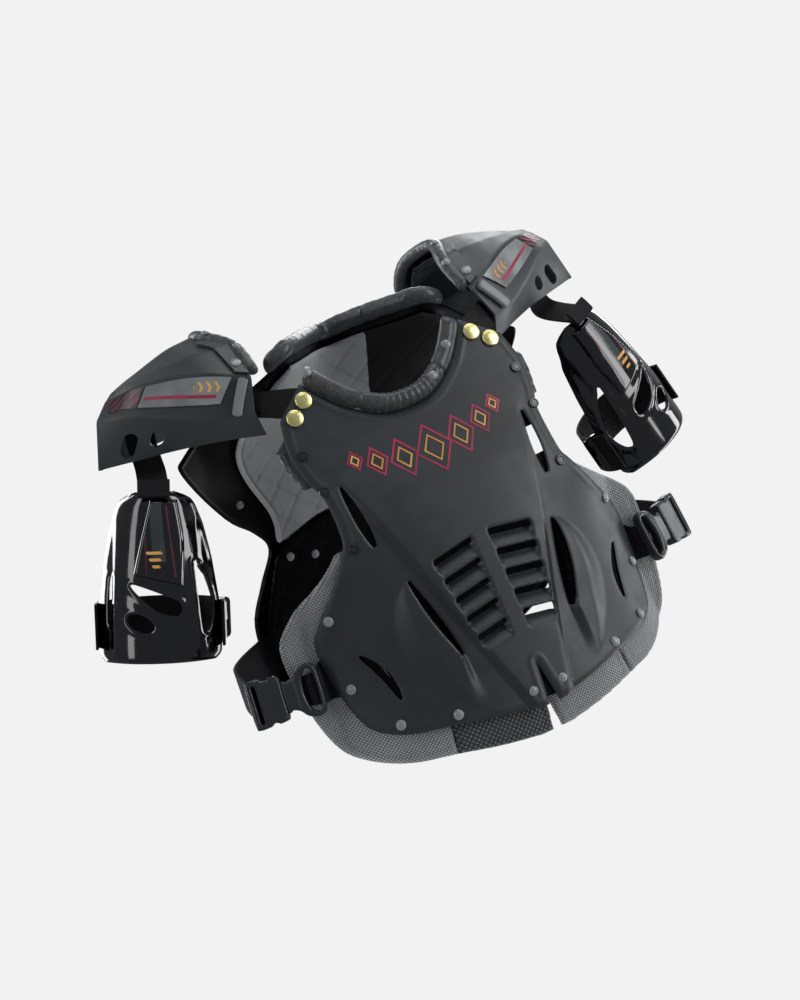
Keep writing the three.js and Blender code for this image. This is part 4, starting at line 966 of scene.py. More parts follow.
def makeCaps():
    # the cap's grid of columns and rows, cut and given its wall
    flat, faces = cutSheet(np.linspace(0, 4, 90), np.linspace(0, 8, 170), capField)
    places = capPoint(*flat.T)
    normals = capNormal(flat[:, 0] * 0.98 + 0.02, flat[:, 1])

    def make(piece, suffix):
        tidyMesh(piece)
        wallOf(piece, cap["wall"])
        settle(piece, capPlastic, ["shoulder_cup_" + suffix], angle=50)

    turned = faces if np.mean(normals[:, 2]) > 0 else [f[::-1] for f in faces]
    bothSides("cap_shell", places, turned, make)


def capPatch(name, field, us, vs, lift, thick, *finish):
    # a patch of the cap's surface, lifted off it and given its own wall
    flat, faces = cutSheet(us, vs, field)
    normal = capNormal(*flat.T)
    outward = np.sign(np.mean(normal[:, 2] - normal[:, 1]))
    places = capPoint(*flat.T) + normal * outward * lift
    wallPair(name, places, faces if outward > 0 else [f[::-1] for f in faces], thick, *finish)


def placeLine(pairs):
    # an outline given as columns and rows, in steps of equal length on the cap
    return np.array(pairs, float) * [34, 32]


def placeField(outline):
    # how far a column and row lie inside such an outline
    return lambda c, r: insideDistance(c * 34, r * 32, outline)


panelOutline = placeLine([(0.52, 1.92), (0.93, 1.33), (1.86, 1.3), (2.84, 1.26), (2.7, 1.88), (1.57, 1.92)])
tipOutline = placeLine([(2.88, 1.25), (3.72, 1.3), (3.78, 1.85), (3.4, 1.92), (2.75, 1.9)])


def makeCapPanels():
    # the inset panel with its stripe and its row of arrow heads, and the dark tip with its slashes
    lift, thick = cap["faceGap"] + cap["panelThick"], cap["panelThick"]
    inside, tip = placeField(panelOutline), placeField(tipOutline)
    stripe = lambda c, r: np.minimum.reduce([inside(c, r) - 1, 0.035 - np.abs(r - 1.47 - 0.02 * c), c - 1.0, 2.7 - c])
    chevrons = lambda c, r: np.minimum.reduce([0.035 - np.abs((c - 0.55 * np.abs(r - 1.7)) % 0.2 - 0.1), c - 0.86,
                                               1.5 - c, r - 1.59, 1.81 - r])
    slashes = lambda c, r: np.minimum.reduce([0.03 - np.abs((c + 0.8 * (r - 1.4)) % 0.26 - 0.13),
                                              tip(c, r) / 30 - 0.02, 1.82 - r])
    for name, field, columns, rows, up, wall, finish in (
            ("cap_panel", inside, (0.4, 2.95, 120), (1.15, 2.0, 60), lift, thick, (satinFilm, "cup_panel")),
            ("cap_tip", tip, (2.7, 3.85, 70), (1.15, 2.0, 60), 0.9, 0.9, (blackFilm,)),
            ("cap_stripe", stripe, (0.9, 2.8, 110), (1.35, 1.65, 60), lift + 0.25, 0.2, (crimsonInk,)),
            ("cap_chevrons", chevrons, (0.8, 1.55, 90), (1.55, 1.85, 60), lift + 0.25, 0.2, (goldInk,)),
            ("cap_tip_marks", slashes, (2.8, 3.8, 110), (1.2, 1.9, 90), 1.15, 0.2, (crimsonInk,))):
        capPatch(name, field, np.linspace(*columns), np.linspace(*rows), up, wall, *finish)


def makeTabs():
    # a leather keeper laid over the crown beside the padded rim, closed by a snap
    outline = placeLine([(0.03, 2.05), (0.4, 2.05), (0.42, 3.5), (0.05, 3.5)])
    capPatch("cap_keeper", placeField(outline), np.linspace(0, 0.5, 40), np.linspace(2.0, 3.55, 60), 3.0, 2.2,
             leather, None, "leatherette")
    column, row = np.array(0.2), np.array(2.35)
    out = capNormal(column, row)
    out = out * np.sign(out[2] - out[1])
    addStud("keeper_snap", capPoint(column, row) + out * 3.1, out, snapProfile, rivetMetal, 0.62)


def makeBars():
    # the raised keeper across the cap's face near its rim
    r = np.linspace(1.0, 1.92, 30)
    c = 0.22 + 0.36 * (1.92 - r)
    normal = capNormal(c, r)
    normal *= np.sign(np.mean(normal[:, 2] - normal[:, 1]))
    path = capPoint(c, r) + normal * (cap["faceGap"] + cap["barHigh"] / 2)
    across = unit(np.cross(tangents(path), normal))
    angle = np.linspace(0, math.tau, 24, endpoint=False)
    square = lambda v, p: np.sign(v) * np.abs(v) ** p
    ring = np.stack([square(np.cos(angle), 0.45) * cap["barWide"] / 2,
                     square(np.sin(angle), 0.45) * cap["barHigh"] / 2], -1)
    rings = ring[None] * roundEnds(np.linspace(0, 1, len(r)), 0.06)[:, None, None]
    sweepPair("cap_bar", path, across, normal, rings, barPlastic, "cup_bar")


def makeLinings():
    # ribbed padding inside the cap, an even distance in from its shell
    flat, faces = cutSheet(np.linspace(0.02, 2, 60), np.linspace(2, 6, 120),
                           lambda c, r: np.minimum.reduce([c - 0.03, 1.97 - c, (r - 2.02), 5.98 - r]))
    c, r = flat.T
    normal = capNormal(c, r)
    normal *= np.sign(np.mean(normal[:, 2]))
    inward = np.minimum.reduce([c * 30, (1.97 - c) * 30, (r - 2.02) * 30, (5.98 - r) * 30])
    swell = np.sqrt(1 - fallOff(inward, 5))
    ribs = 0.9 * np.sin(r * 16) * swell
    middle = cap["wall"] + 2.6 + 3
    outer = capPoint(c, r) - normal * (middle - 3 * swell)[:, None]
    inner = capPoint(c, r) - normal * (middle + 3 * swell + ribs)[:, None]
    n = len(flat)
    faces = faces + [[k + n for k in reversed(face)] for face in faces]
    for suffix, flip in hands:
        piece = makeMesh("cap_padding_" + suffix, np.concatenate([outer, inner]) * [flip, 1, 1], faces)
        tidyMesh(piece)
        settle(piece, leather, ["cup_lining_" + suffix])


def makeBolsters():
    # a padded roll along the rim, its path evened by averaging 21 near places
    r = np.linspace(2.1, 6.0, 130)
    rim, inner = capPoint(0 * r, r, 0.01, 0.25), capPoint(0 * r + 1, r, 0.01, 0.25)
    away = unit(rim - inner)
    path = rim + away * (cap["bolster"] / 2 - 3.0)
    path = np.stack([np.convolve(np.pad(column, 10, mode="reflect", reflect_type="odd"), np.ones(21) / 21, "valid")
                     for column in path.T], 1)
    side = unit(np.cross(away, tangents(path)))
    places = np.arange(len(r))
    folds = 1 + 0.02 * np.sin(places * 0.9) + 0.014 * np.sin(places * 2.1)
    scale = roundEnds(np.linspace(0, 1, len(r)), 0.04) * folds
    rings = ovalRing(20, cap["bolster"] / 2, cap["bolster"] * 0.42, scale)
    sweepPair("cap_bolster", path, away, side, rings, leather, "shoulder_bolster")
    return path, away, side


makeCaps()
makeCapPanels()
makeBars()
makeLinings()
bolsterPath, bolsterAway, bolsterSide = makeBolsters()
print("shoulder caps made")

# Webbing

webbing = {"thick": 2.2, "gap": 1.2, "armWide": 27.0, "bandWide": 40.0, "waistWide": 34.0, "across": 13, "steps": 12}


def rowOf(middle, wide, width):
    # three places across a strap: half its width to each side of the middle
    return np.asarray(middle) + np.asarray(wide) * (np.array([-0.5, 0, 0.5]) * width)[:, None]


def strap(name, node, rows, material=None, steps=webbing["steps"], thick=webbing["thick"], corners=()):
    # webbing through rows of three places, each row running across it
    rows = np.asarray(rows)
    line = smoothLine(rows.reshape(len(rows), 9), steps, corners).reshape(-1, 3, 3)
    at = np.linspace(0, 2, webbing["across"])
    low = np.minimum(at.astype(int), 1)
    share = (at - low)[None, :, None]
    sheet = line[:, low] * (1 - share) + line[:, low + 1] * share
    along = np.concatenate([[0], np.cumsum(np.linalg.norm(np.diff(line[:, 1], axis=0), axis=1))])
    wide = np.linalg.norm(line[:, 2] - line[:, 0], axis=1)
    uv = np.stack([np.repeat(along[:, None], len(at), 1), wide[:, None] * at / 2], -1).reshape(-1, 2)
    faces = gridFaces(len(line), len(at))
    for suffix, flip in hands:
        piece = makeMesh(name + "_" + suffix, sheet.reshape(-1, 3) * [flip, 1, 1], faces, uv)
        wallOf(piece, thick, 0)
        tidyMesh(piece, 1e-6)
        settle(piece, material or tape, [node + "_" + suffix] if node else ())


def cornerRow(tuck):
    # three places behind the chest plate's corner, tuck mm in from it
    top, low = chestAt(chestEdge)[4], chestAt(chestEdge)[5]
    shares = np.array([0.12, 0.5, 0.88])[:, None]
    flat = top + (low - top) * shares - tuck * np.array([0.55, 0.8])
    y = chestFront(flat[:, 0], flat[:, 1]) + chest["wall"] + webbing["thick"] / 2 + webbing["gap"]
    return np.stack([flat[:, 0], y, flat[:, 1]], 1)


def insideCap(column):
    # three places behind the cap's front face, down one column
    rows = np.array([1.5, 1.1, 0.78])
    return capPoint(np.full(3, column), rows) + [0, cap["wall"] + webbing["thick"] + 4.8, 0]


strap("shoulder_elastic", "shoulder_web", [cornerRow(12), cornerRow(1), insideCap(0.12), insideCap(0.34)], elastic)

# Upper-arm guards

guard = {"length": 150.0, "halfWidth": 54.0, "crown": 30.0, "wall": 3.2, "head": (219.0, -2.0, -84.0), "splay": 18.0,
         "turn": 23.0, "bandDown": 118.5, "bandDepth": 52.0, "grid": 1.5}
guardSections = [(-0.1, 0.3, 0.3), (0.0, 0.44, 0.45), (0.06, 0.62, 0.6), (0.2, 0.76, 0.78), (0.4, 0.88, 0.9),
                 (0.66, 0.98, 1.0), (0.95, 1.0, 1.0), (1.1, 0.95, 0.98)]
splay, turn = math.radians(guard["splay"]), math.radians(guard["turn"])
guardDown = np.array([math.sin(splay), 0, -math.cos(splay)])
guardAcross = np.array([math.cos(splay) * math.cos(turn), math.sin(turn), math.sin(splay) * math.cos(turn)])
guardFace = unit(np.cross(guardDown, guardAcross))


def guardPoint(a, d, h):
    # a mm across, d mm down and h mm out from the guard's head
    a, d, h = (np.asarray(v, float)[..., None] for v in (a, d, h))
    return np.asarray(guard["head"]) + guardAcross * a + guardDown * d + guardFace * h


def guardWide(d):
    # half the guard's width at d mm down
    return lookUp(guardSections, np.asarray(d, float) / guard["length"], 1, 0.03) * guard["halfWidth"]


def guardHeight(a, d):
    # the crown, less the 2.3rd power of the share of the way to the edge
    share = np.clip(np.abs(a) / guardWide(d), 0, 1.12)
    return lookUp(guardSections, np.asarray(d, float) / guard["length"], 2, 0.05) * guard["crown"] * (1 - share**2.3)


def guardShare(pairs):
    # pairs of shares of the half width and length, in mm
    return np.array(pairs) * [guard["halfWidth"], guard["length"]]


guardCuts = [smoothLine(guardShare(pairs), 5, closed=True) for pairs in (
    [(0.42, 0.53), (-0.2, 0.61), (-0.38, 0.655), (-0.34, 0.72), (-0.04, 0.7), (0.21, 0.63)],
    [(-0.62, 0.4), (-0.86, 0.63), (-0.84, 0.78), (-0.72, 0.84), (-0.66, 0.63)],
    [(0.74, 0.5), (0.8, 0.52), (0.84, 0.76), (0.79, 0.76)])]
ringTurn = np.linspace(0, math.tau, 28, endpoint=False)
leafA, leafD = 12.8 * np.cos(ringTurn), 7.4 * np.sin(ringTurn)
guardCuts.append(np.stack([15.5 + leafA * 0.9 + leafD * 0.43, 114 - leafA * 0.43 + leafD * 0.9], 1))


def guardOutline():
    # the width at each place down, rounded in at the head and a little at the foot
    t = np.linspace(0, 1, 46)
    wide = guardWide(t * guard["length"])
    wide = wide * (1 - 0.3 * fallOff(t, 0.05) - 0.09 * np.clip((t - 0.95) / 0.05, 0, 1) ** 2)
    right = np.stack([wide, t * guard["length"]], 1)
    return np.concatenate([right, (right * [-1, 1])[::-1]])


guardLine = guardOutline()


def guardHoles(a, d):
    # how far a place lies inside the nearest opening
    return np.maximum.reduce([insideDistance(a, d, cut) for cut in guardCuts])


def guardField(a, d):
    # the outline and the two strap lugs, less the openings
    body = np.maximum.reduce([insideDistance(a, d, guardLine), roundBox(a, d, -62, -40, 97, 134, 5),
                              roundBox(a, d, 40, 57, 96, 138, 4)])
    return np.minimum(body, -guardHoles(a, d))


def guardSheet(name, field, us, vs, rise, thick, *finish):
    # a sheet over the guard's face, rise giving its height above that face, with its wall behind it
    flat, faces = cutSheet(us, vs, field)
    a, d = flat.T
    places = guardPoint(a, d, guardHeight(a, d) + rise(a, d))
    wallPair(name, places, [face[::-1] for face in faces], thick, *finish)


def guardRise(a, d):
    # rolled free edges, raised lips round the openings, and a crease from the panel to each lower corner
    edge = insideDistance(a, d, guardLine)
    hole = -guardHoles(a, d)
    lips = 0.9 * bell(hole - 2.6, 1.6)
    crease = 2.2 * smoothStep((np.abs(a) - 33 - 0.05 * d) / 3.5)
    crease = crease * smoothStep((d - 18) / 14) * smoothStep((146 - d) / 12)
    return lips - crease - 2.0 * fallOff(edge, 4.0) - 0.7 * fallOff(hole, 2.0)


panelLine = np.array([(-20, 7), (4, 6), (13, 40), (21, 71), (-23, 82), (-25, 42)], float)
panelRound = smoothLine(panelLine, 4, corners=(0, 1, 3, 4), closed=True)


def makeGuards():
    # the guard, its raised panel, and the panel's pinstripes, strip and three slanted bars that shorten downward
    step = guard["grid"]
    inside = lambda a, d: insideDistance(a, d, panelRound)
    bevel = lambda a, d: 0.5 + 3.0 * (1 - fallOff(inside(a, d), 3.0))
    level = lambda height: lambda a, d: height + 0 * a
    lines = lambda a, d: np.minimum.reduce([0.7 - np.abs(np.abs(a + 0.06 * d) - 9 - 0.05 * d), d - 12, 74 - d,
                                            inside(a, d) - 3])
    strip = lambda a, d: np.minimum.reduce([5.5 - np.abs(a + 0.06 * d), inside(a, d) - 3, 60 - d])
    bars = lambda a, d: np.maximum.reduce([roundBox(a + 0.5 * (d - at), d, low, high, at - 1.3, at + 1.3, 1.0)
                                           for at, low, high in ((52, -6, 8), (58, -5, 5.5), (64, -4, 3))])
    gloss = "gloss_plastic"
    for name, field, across, down, rise, wall, finish in (
            ("arm_guard", guardField, (-64, 60, step), (-2, 153, step), guardRise, guard["wall"],
             (glossPlastic, "bicep_guard", gloss)),
            ("arm_panel", inside, (-27, 23, 0.8), (4, 85, 0.8), bevel, 2.4, (glossPlastic, "guard_panel", gloss)),
            ("guard_pinstripe", lines, (-25, 21, 0.4), (10, 76, 0.4), level(3.62), 0.15, (deepInk,)),
            ("guard_strip", strip, (-14, 9, 0.6), (8, 62, 0.6), level(3.6), 0.12, (slateFilm,)),
            ("guard_bars", bars, (-20, 15, 0.4), (48, 68, 0.4), level(3.8), 0.15, (goldInk,))):
        guardSheet(name, field, np.arange(*across), np.arange(*down), rise, wall, *finish)


makeGuards()


def bandRows(from_, to, steps, reach, depth):
    # strap rows at even angles round half an ellipse behind the guard
    rows = []
    for angle in np.radians(np.linspace(from_, to, steps)):
        middle = guardPoint(reach * math.cos(angle), guard["bandDown"], -depth * math.sin(angle))
        rows.append(rowOf(middle, guardDown, webbing["bandWide"]))
    return rows


strap("arm_elastic", "arm_band", bandRows(-8, 188, 13, guard["halfWidth"] + 2.5, guard["bandDepth"]), elastic, 6)


def armStrapRows():
    # strap rows from the cap's crown down its inside to the guard's head
    lift = lambda a, d, more: guardPoint(a, d, guardHeight(a, d) + more)
    inside = capPoint(np.array(2.86), np.array(0.35)) + [-8, cap["wall"] + webbing["thick"] + 11.4, 0]
    below = [inside[0] + 2, inside[1] - 4, cap["low"] - 2]
    peak = capPoint(np.array(4.0), np.array(4.0))
    top = [peak[0] - webbing["armWide"] / 2 - 0.5, cap["middle"], peak[2] - cap["wall"] - 1]
    hanging = [inside, below, lift(0.0, 0.0, 3.3), lift(0.0, 4.5, 2.7)]
    wide = webbing["armWide"]
    return [rowOf(top, (1, 0, 0), wide)] + [rowOf(at, guardAcross, wide) for at in hanging]


armRows = armStrapRows()
strap("arm_strap", "bicep_strap", armRows)
foldRows = [rowOf(guardPoint(0.0, d, guardHeight(0.0, d) + rise), guardAcross, webbing["armWide"] + 1.5)
            for d, rise in ((-11.0, 5.4), (-4.0, 5.8), (3.0, 4.9))]
strap("arm_strap_fold", None, foldRows, thick=2.6)
print("guards made")

# Waist buckles

buckle = {"place": (226.0, -80.0, -279.0), "turn": 30.0, "tilt": 12.0, "high": 43.0, "thick": 12.0, "socket": 30.0,
          "plug": 34.0, "gap": 0.3}
bTurn, bTilt = math.radians(buckle["turn"]), math.radians(buckle["tilt"])
buckleAlong = np.array([math.cos(bTurn), math.sin(bTurn), 0])
buckleHigh = np.array([-math.sin(bTurn) * math.sin(bTilt), math.cos(bTurn) * math.sin(bTilt), math.cos(bTilt)])
buckleFace = np.cross(buckleAlong, buckleHigh)
plugOut = -buckle["socket"] - buckle["gap"]
plugIn = plugOut - buckle["plug"]


def buckleShape(pairs):
    # mm along and shares of the height, as a smooth closed line
    return smoothLine(np.array(pairs) * [1, buckle["high"]], 4, closed=True)


def bucklePiece(name, node, field, low, high, thick, relief):
    # both faces round off toward the outline and toward the openings
    flat, faces = cutSheet(np.arange(low, high, 0.5), np.arange(-26, 26, 0.5), field)
    a, h = flat.T
    inward = field(a, h)
    swell = thick / 2 - 2.2 * (1 - np.sqrt(1 - fallOff(inward, 2.6))) + relief(a, h)
    places = []
    for side in (1, -1):
        places.append(np.asarray(buckle["place"]) + a[:, None] * buckleAlong + h[:, None] * buckleHigh
                      + (side * swell)[:, None] * buckleFace)
    n = len(flat)
    rim = edgeLoops(faces)
    walls = [[p, q, q + n, p + n] for q, p in rim]
    every = faces + [[k + n for k in reversed(face)] for face in faces] + walls

    def make(piece, suffix):
        tidyMesh(piece, 1e-6)
        settle(piece, bucklePlastic, [node + "_" + suffix], angle=50)

    bothSides(name, np.concatenate(places), every, make)


def edgeLoops(faces):
    # the directed edges that only one face uses
    used = {(face[k - 1], face[k]) for face in faces for k in range(len(face))}
    return [(a, b) for a, b in used if (b, a) not in used]


socketLine = buckleShape([(0.5, -0.44), (1.2, 0), (0.5, 0.44), (-3, 0.51), (-15, 0.49), (-26, 0.47), (-30, 0.4),
                          (-30, 0), (-30, -0.4), (-26, -0.47), (-15, -0.49), (-3, -0.51)])
socketNotches = [(-17.0, 24.0, 5.0), (-17.0, -24.0, 5.0)]
plugHalf = [(plugOut, 0.3), (plugOut - 5, 0.3), (plugOut - 11, 0.36), (plugOut - 17, 0.5), (plugIn + 8, 0.56),
            (plugIn + 2, 0.48), (plugIn, 0.28)]
plugLine = buckleShape([(plugOut, -0.3), *plugHalf, *[(a, -h) for a, h in plugHalf[:0:-1]]])
loopLine = buckleShape([(plugIn + 4, -0.34), (plugIn + 4, 0.34), (plugIn + 9, 0.44), (plugIn + 14, 0.34),
                        (plugIn + 16, 0), (plugIn + 14, -0.34), (plugIn + 9, -0.44)])


def socketField(a, h):
    # the socket's outline, less its side notches and its slot
    notches = [radius - np.hypot(a - x, h - y) for x, y, radius in socketNotches]
    slot = roundBox(a, h, -7.8, -4.6, -0.4 * buckle["high"], 0.4 * buckle["high"], 1.2)
    return np.minimum(insideDistance(a, h, socketLine), -np.maximum.reduce([*notches, slot]))


def plugField(a, h):
    # the plug's outline, less its loop
    return np.minimum(insideDistance(a, h, plugLine), -insideDistance(a, h, loopLine))


def socketRelief(a, h):
    # two grooves across the socket, 0.9 mm deep
    return -0.9 * (smoothStep(1.3 - np.abs(a + 10.4) / 0.9) + smoothStep(1.3 - np.abs(a + 1.9) / 0.8))


bucklePiece("waist_socket", "buckle_socket", socketField, -32, 3, buckle["thick"], socketRelief)
bucklePiece("waist_plug", "buckle_plug", plugField, plugIn - 2, plugOut + 1, buckle["thick"] - 3,
            lambda a, h: 0.8 * bell(a - plugOut + 14, 2.4))


def buckleRow(a, n, wide=webbing["waistWide"]):
    # a strap row a mm along the buckle and n mm off its middle plane
    return rowOf(np.asarray(buckle["place"]) + a * buckleAlong + n * buckleFace, buckleHigh, wide)


def followRow(surface, x, off):
    # a strap row at one x on a surface, off mm away from it
    z = buckle["place"][2] + np.array([-0.5, 0, 0.5]) * webbing["waistWide"]
    return np.stack([np.full(3, x), surface(np.full(3, x), z) + off, z], 1)


offPlate = chest["wall"] + webbing["thick"] / 2 + webbing["gap"]
plugBack = -((buckle["thick"] - 3) / 2 + webbing["thick"] / 2 + 0.6)
frontRows = [followRow(chestBase, chestX(share), offPlate) for share in (0.84, 0.93, 1.0)]
plugRows = [buckleRow(plugIn + a, n, wide) for a, n, wide in ((0.5, plugBack, 30), (9, -1.0, 28), (17, plugBack, 26))]
strap("waist_strap_front", "waist_web_front", frontRows + plugRows)
socketBack = -(buckle["thick"] / 2 + webbing["thick"] / 2 + 0.3)
rearRows = [followRow(backRear, back["halfWidth"] * share, -offPlate) for share in (0.92, 0.8)]
socketRows = [buckleRow(-16, socketBack), buckleRow(-4, socketBack),
              rowOf((204, 0, buckle["place"][2]), (0, 0, 1), webbing["waistWide"])]
strap("waist_strap_rear", "waist_web_rear", socketRows + rearRows)
print("buckles made")

# Fasteners

fastening = {"gap": 0.6, "sides": 36, "onRoll": 6.6, "onBolster": 5.2}
snapPlaces = [(0.54, 0.044), (0.63, 0.079)]
rivetPlaces = [(0.685, 0.175), (0.675, 0.278), (0.665, 0.442), (0.905, 0.607), (0.925, 0.8), (0.785, 0.922),
               (0.51, 0.94)]
snapProfile = [(0, 3.0), (2.0, 2.97), (4.0, 2.8), (5.6, 2.45), (6.2, 2.2), (6.6, 2.2), (7.3, 1.95), (7.8, 1.3),
               (8.0, 0.6), (7.9, 0.0)]
flushProfile = [(0, 1.5), (2.6, 1.45), (3.0, 1.0), (3.4, 1.5), (4.2, 1.5), (4.7, 0.8), (4.75, 0.0)]
rivetProfile = [(0, 2.6), (1.2, 2.52), (2.5, 2.2), (3.5, 1.7), (4.2, 1.05), (4.6, 0.45), (4.75, 0.0)]


def turnedPiece(name, foot, out, profile, scale=1.0):
    # a profile of radius and height, turned round the outward direction
    out = unit(np.asarray(out, float))
    one = unit(np.cross(out, [0.1, 0.2, 1.0]))
    two = np.cross(out, one)
    angle = np.linspace(0, math.tau, fastening["sides"], endpoint=False)
    rings = [np.asarray(foot) + scale * (out * h + r * (np.cos(angle)[:, None] * one + np.sin(angle)[:, None] * two))
             for r, h in profile[1:]]
    n = fastening["sides"]
    points = np.concatenate([[np.asarray(foot) + out * profile[0][1] * scale], *rings])
    faces = [[0, 1 + k, 1 + (k + 1) % n] for k in range(n)]
    faces += (gridFaces(len(rings), n, closed=True) + 1).tolist()
    faces.append([1 + (len(rings) - 1) * n + k for k in range(n)])
    piece = makeMesh(name, points, faces)
    tidyMesh(piece, 1e-7)
    return piece


def addStud(name, foot, out, profile, material, scale=1.0, node=None, paired=True):
    # a turned fastener, and its mirror image where it is one of a pair
    for suffix, flip in hands if paired else ((None, 1),):
        end = "_" + suffix if suffix else ""
        mirror = np.array([flip, 1, 1])
        piece = turnedPiece(name + end, foot * mirror, out * mirror, profile, scale)
        settle(piece, material, [node + end] if node else ())


def chestNormal(x, z, step=2.0):
    # from the front's slopes over a short step each way
    tiltX = (chestFront(x + step, z) - chestFront(x - step, z)) / (2 * step)
    tiltZ = (chestFront(x, z + step) - chestFront(x, z - step)) / (2 * step)
    return unit(np.array([tiltX, -1.0, tiltZ]))


def seatedOnChest(x, z, radius):
    # a foot raised until the plate's highest place under its rim is cleared
    x, z = np.array(float(x)), np.array(float(z))
    out = chestNormal(x, z)
    foot = np.array([x, chestFront(x, z), z])
    angle = np.arange(8) * math.pi / 4
    near = np.stack([x + radius * np.cos(angle), 0 * angle, z + radius * np.sin(angle)], 1)
    near[:, 1] = chestFront(near[:, 0], near[:, 2])
    return foot + out * (max(0.0, float(np.max((near - foot) @ out))) + fastening["gap"]), out


def makeFasteners():
    # gold snaps at the corners, then flush studs at the shoulders and domed ones below, one for each CAD solid
    for i, (share, down) in enumerate(snapPlaces, 1):
        foot, out = seatedOnChest(chestX(share), chestZ(down), max(snapProfile)[0])
        addStud(f"snap_{i}", foot, out, snapProfile, goldPlate, node=f"snap_button_{i}")
    for i, (share, down) in enumerate(rivetPlaces, 1):
        foot, out = seatedOnChest(chestX(share), chestZ(down), max(rivetProfile)[0])
        profile, material = (flushProfile, darkRivet) if i < 4 else (rivetProfile, rivetMetal)
        addStud(f"stud_{i}", foot, out, profile, material, node=f"rivet_{i}")


def makeSmallStuds():
    # studs through the rolls, the back plate's wings, the lobes beside the lower slit and the caps' rims
    for i, (x, out) in enumerate(((-76, (0.2, -0.8, 0.5)), (29, (0.1, -0.85, 0.5)), (56, (-0.1, -0.85, 0.5))), 1):
        out = unit(np.array(out))
        at = frontPath[np.argmin(np.abs(frontPath[:, 0] - x))]
        addStud(f"trim_stud_{i}", at + out * fastening["onRoll"], out, rivetProfile, rivetMetal, 0.95, paired=False)
    out = unit(np.array([0, -0.85, 0.5]))
    for i, x in enumerate((-44, -8, 30), 1):
        at = collarPath[np.argmin(np.abs(collarPath[:, 0] - x))]
        addStud(f"collar_stud_{i}", at + out * fastening["onRoll"], out, flushProfile, darkRivet, 0.9, paired=False)
    for i, (x, z, off) in enumerate(((126.0, -139.0, 3.6), (96.0, -203.0, 16.6), (70.0, -211.0, 16.6)), 1):
        y = float(backRear(np.array(x), np.array(z))) - off
        addStud(f"wing_stud_{i}", (x, y, z), (0, -1, 0), rivetProfile, rivetMetal, 0.9)
    x, z = 15.0, chestZ(0.953)
    y = float(chestFront(np.array(x), np.array(z)))
    addStud("slit_stud", (x, y, z), (0, -1, 0), rivetProfile, rivetMetal, 0.95)
    for i, k in enumerate((24, 52), 1):
        out = unit(bolsterSide[k] * np.sign(bolsterSide[k][2]) + bolsterAway[k] * 0.2)
        foot = bolsterPath[k] + out * fastening["onBolster"]
        addStud(f"bolster_stud_{i}", foot, out, rivetProfile, rivetMetal, 0.85)


makeFasteners()
makeSmallStuds()
makeTabs()
print("fasteners made")

# Print on the chest

film = {"lift": 0.32, "thick": 0.2}
diamonds = [(0, 17, 20, -122), (29, 13, 16, -120), (53, 10, 12, -115), (71, 7, 8, -108)]


def diamondField(x, z, scale, width):
    # the border of each diamond, width across, as the distance from its four sides
    best = np.full(x.shape, -50.0)
    for middle, half, high, level in diamonds:
        across, up = half * scale, high * scale
        reach = across * up / math.hypot(across, up)
        off = np.abs(np.abs(np.abs(x) - middle) / across + np.abs(z - level) / up - 1) * reach
        best = np.maximum(best, width / 2 - off)
    return best


def makePrint():
    # the borders as thin films just in front of the plate
    for name, scale, width, ink in (("chest_print_line", 1.0, 1.6, crimsonInk),
                                    ("chest_print_inner", 0.55, 1.3, goldInk)):
        flat, faces = cutSheet(np.arange(-98, 98, 0.5), np.arange(-146, -98, 0.5),
                               lambda x, z: diamondField(x, z, scale, width))
        x, z = flat.T
        piece = makeMesh(name, np.stack([x, chestFront(x, z) - film["lift"], z], 1), faces)
        wallOf(piece, film["thick"])
        settle(piece, ink, ())


makePrint()
print("print made")

# Camera, lights and backdrop

view = {"target": (0.0, 0.0, -0.18), "away": 2.6, "azimuth": -22.0, "elevation": 12.0, "roll": 18.6, "lens": 68.0}
az, el, rollTurn = (math.radians(view[key]) for key in ("azimuth", "elevation", "roll"))
right0 = Vector((math.cos(az), math.sin(az), 0))
backward = Vector((math.sin(az) * math.cos(el), -math.cos(az) * math.cos(el), math.sin(el)))
up0 = backward.cross(right0)
right = right0 * math.cos(rollTurn) - up0 * math.sin(rollTurn)
up = right0 * math.sin(rollTurn) + up0 * math.cos(rollTurn)


def facing(position, target, upward=Vector((0, 0, 1))):
    # a matrix at the position whose -Z looks at the target
    behind = (Vector(position) - Vector(target)).normalized()
    side = upward.cross(behind).normalized()
    over = behind.cross(side)
    matrix = Matrix((side, over, behind)).transposed().to_4x4()
    matrix.translation = Vector(position)
    return matrix


cameraData = bpy.data.cameras.new("camera")
cameraData.sensor_fit = "VERTICAL"
cameraData.sensor_height = 24.0
cameraData.lens = view["lens"]
cameraData.clip_end = 100
camera = bpy.data.objects.new("camera", cameraData)
bpy.context.scene.collection.objects.link(camera)
frameTurn = Matrix((right, up, backward)).transposed().to_4x4()
frameTurn.translation = Vector(view["target"]) + backward * view["away"]
camera.matrix_world = frameTurn
bpy.context.scene.camera = camera


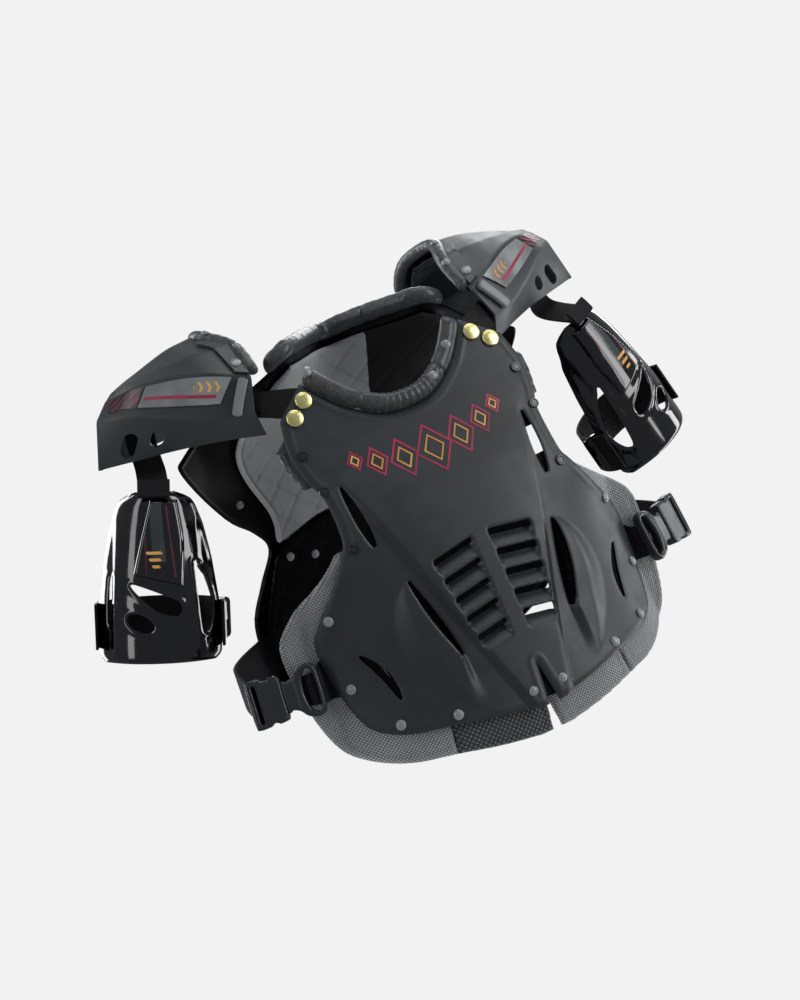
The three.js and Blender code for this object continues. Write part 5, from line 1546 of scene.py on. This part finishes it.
def addLight(name, across, over, toward, wide, tall, watts, colour=(1, 1, 1)):
    # a soft box placed in the camera's own directions from the object: right, up and toward the camera
    data = bpy.data.lights.new(name, "AREA")
    data.shape = "RECTANGLE"
    data.size, data.size_y = wide, tall
    data.energy = watts
    data.color = colour
    light = bpy.data.objects.new(name, data)
    bpy.context.scene.collection.objects.link(light)
    middle = Vector(view["target"])
    light.matrix_world = facing(middle + right * across + up * over + backward * toward, middle, up)


addLight("key", 2.3, 1.3, 1.1, 1.0, 2.4, 40)
addLight("fill", -2.2, 0.4, 1.6, 0.6, 2.6, 15)
addLight("top", 0.2, 2.6, 0.2, 2.4, 1.2, 26)
addLight("left_edge", -2.0, 0.2, -1.0, 0.8, 3.0, 46)
addLight("right_edge", 2.2, 0.0, -0.9, 0.6, 2.6, 26)
addLight("behind", 0.4, 1.6, -2.4, 1.8, 1.6, 40)

# the room is dim to light by and pale to look at, so that the piece keeps its blacks against pale paper
world = bpy.data.worlds.new("studio")
bpy.context.scene.world = world
world.use_nodes = True
room = world.node_tree
dim = room.nodes["Background"]
dim.inputs["Color"].default_value = (0.92, 0.95, 1.0, 1)
dim.inputs["Strength"].default_value = 0.22
pale = addNode(room, "Background", {"Color": linear("#f2f2f2"), "Strength": 1.0})
seen = addNode(room, "LightPath")
both = addNode(room, "MixShader", {0: seen.outputs["Is Camera Ray"], 1: dim.outputs[0], 2: pale.outputs[0]})
room.links.new(both.outputs[0], room.nodes["World Output"].inputs["Surface"])

# a paper floor well below, as pale as the room
paper = startMaterial("paper_floor", Roughness=1.0, Base_Color=(0, 0, 0, 1), Emission_Color=linear("#f2f2f2"),
                      Emission_Strength=1.0, Specular_IOR_Level=0.0)
floorCorners = [[x, y, -900] for x, y in ((-5000, -5000), (5000, -5000), (5000, 5000), (-5000, 5000))]
floor = makeMesh("floor", floorCorners, [[0, 1, 2, 3]])
floor.data.materials.append(paper[0])
floor.visible_glossy = False
bpy.context.scene.view_settings.view_transform = "Standard"
bpy.context.scene.view_settings.look = "None"
print("camera and lights ready")
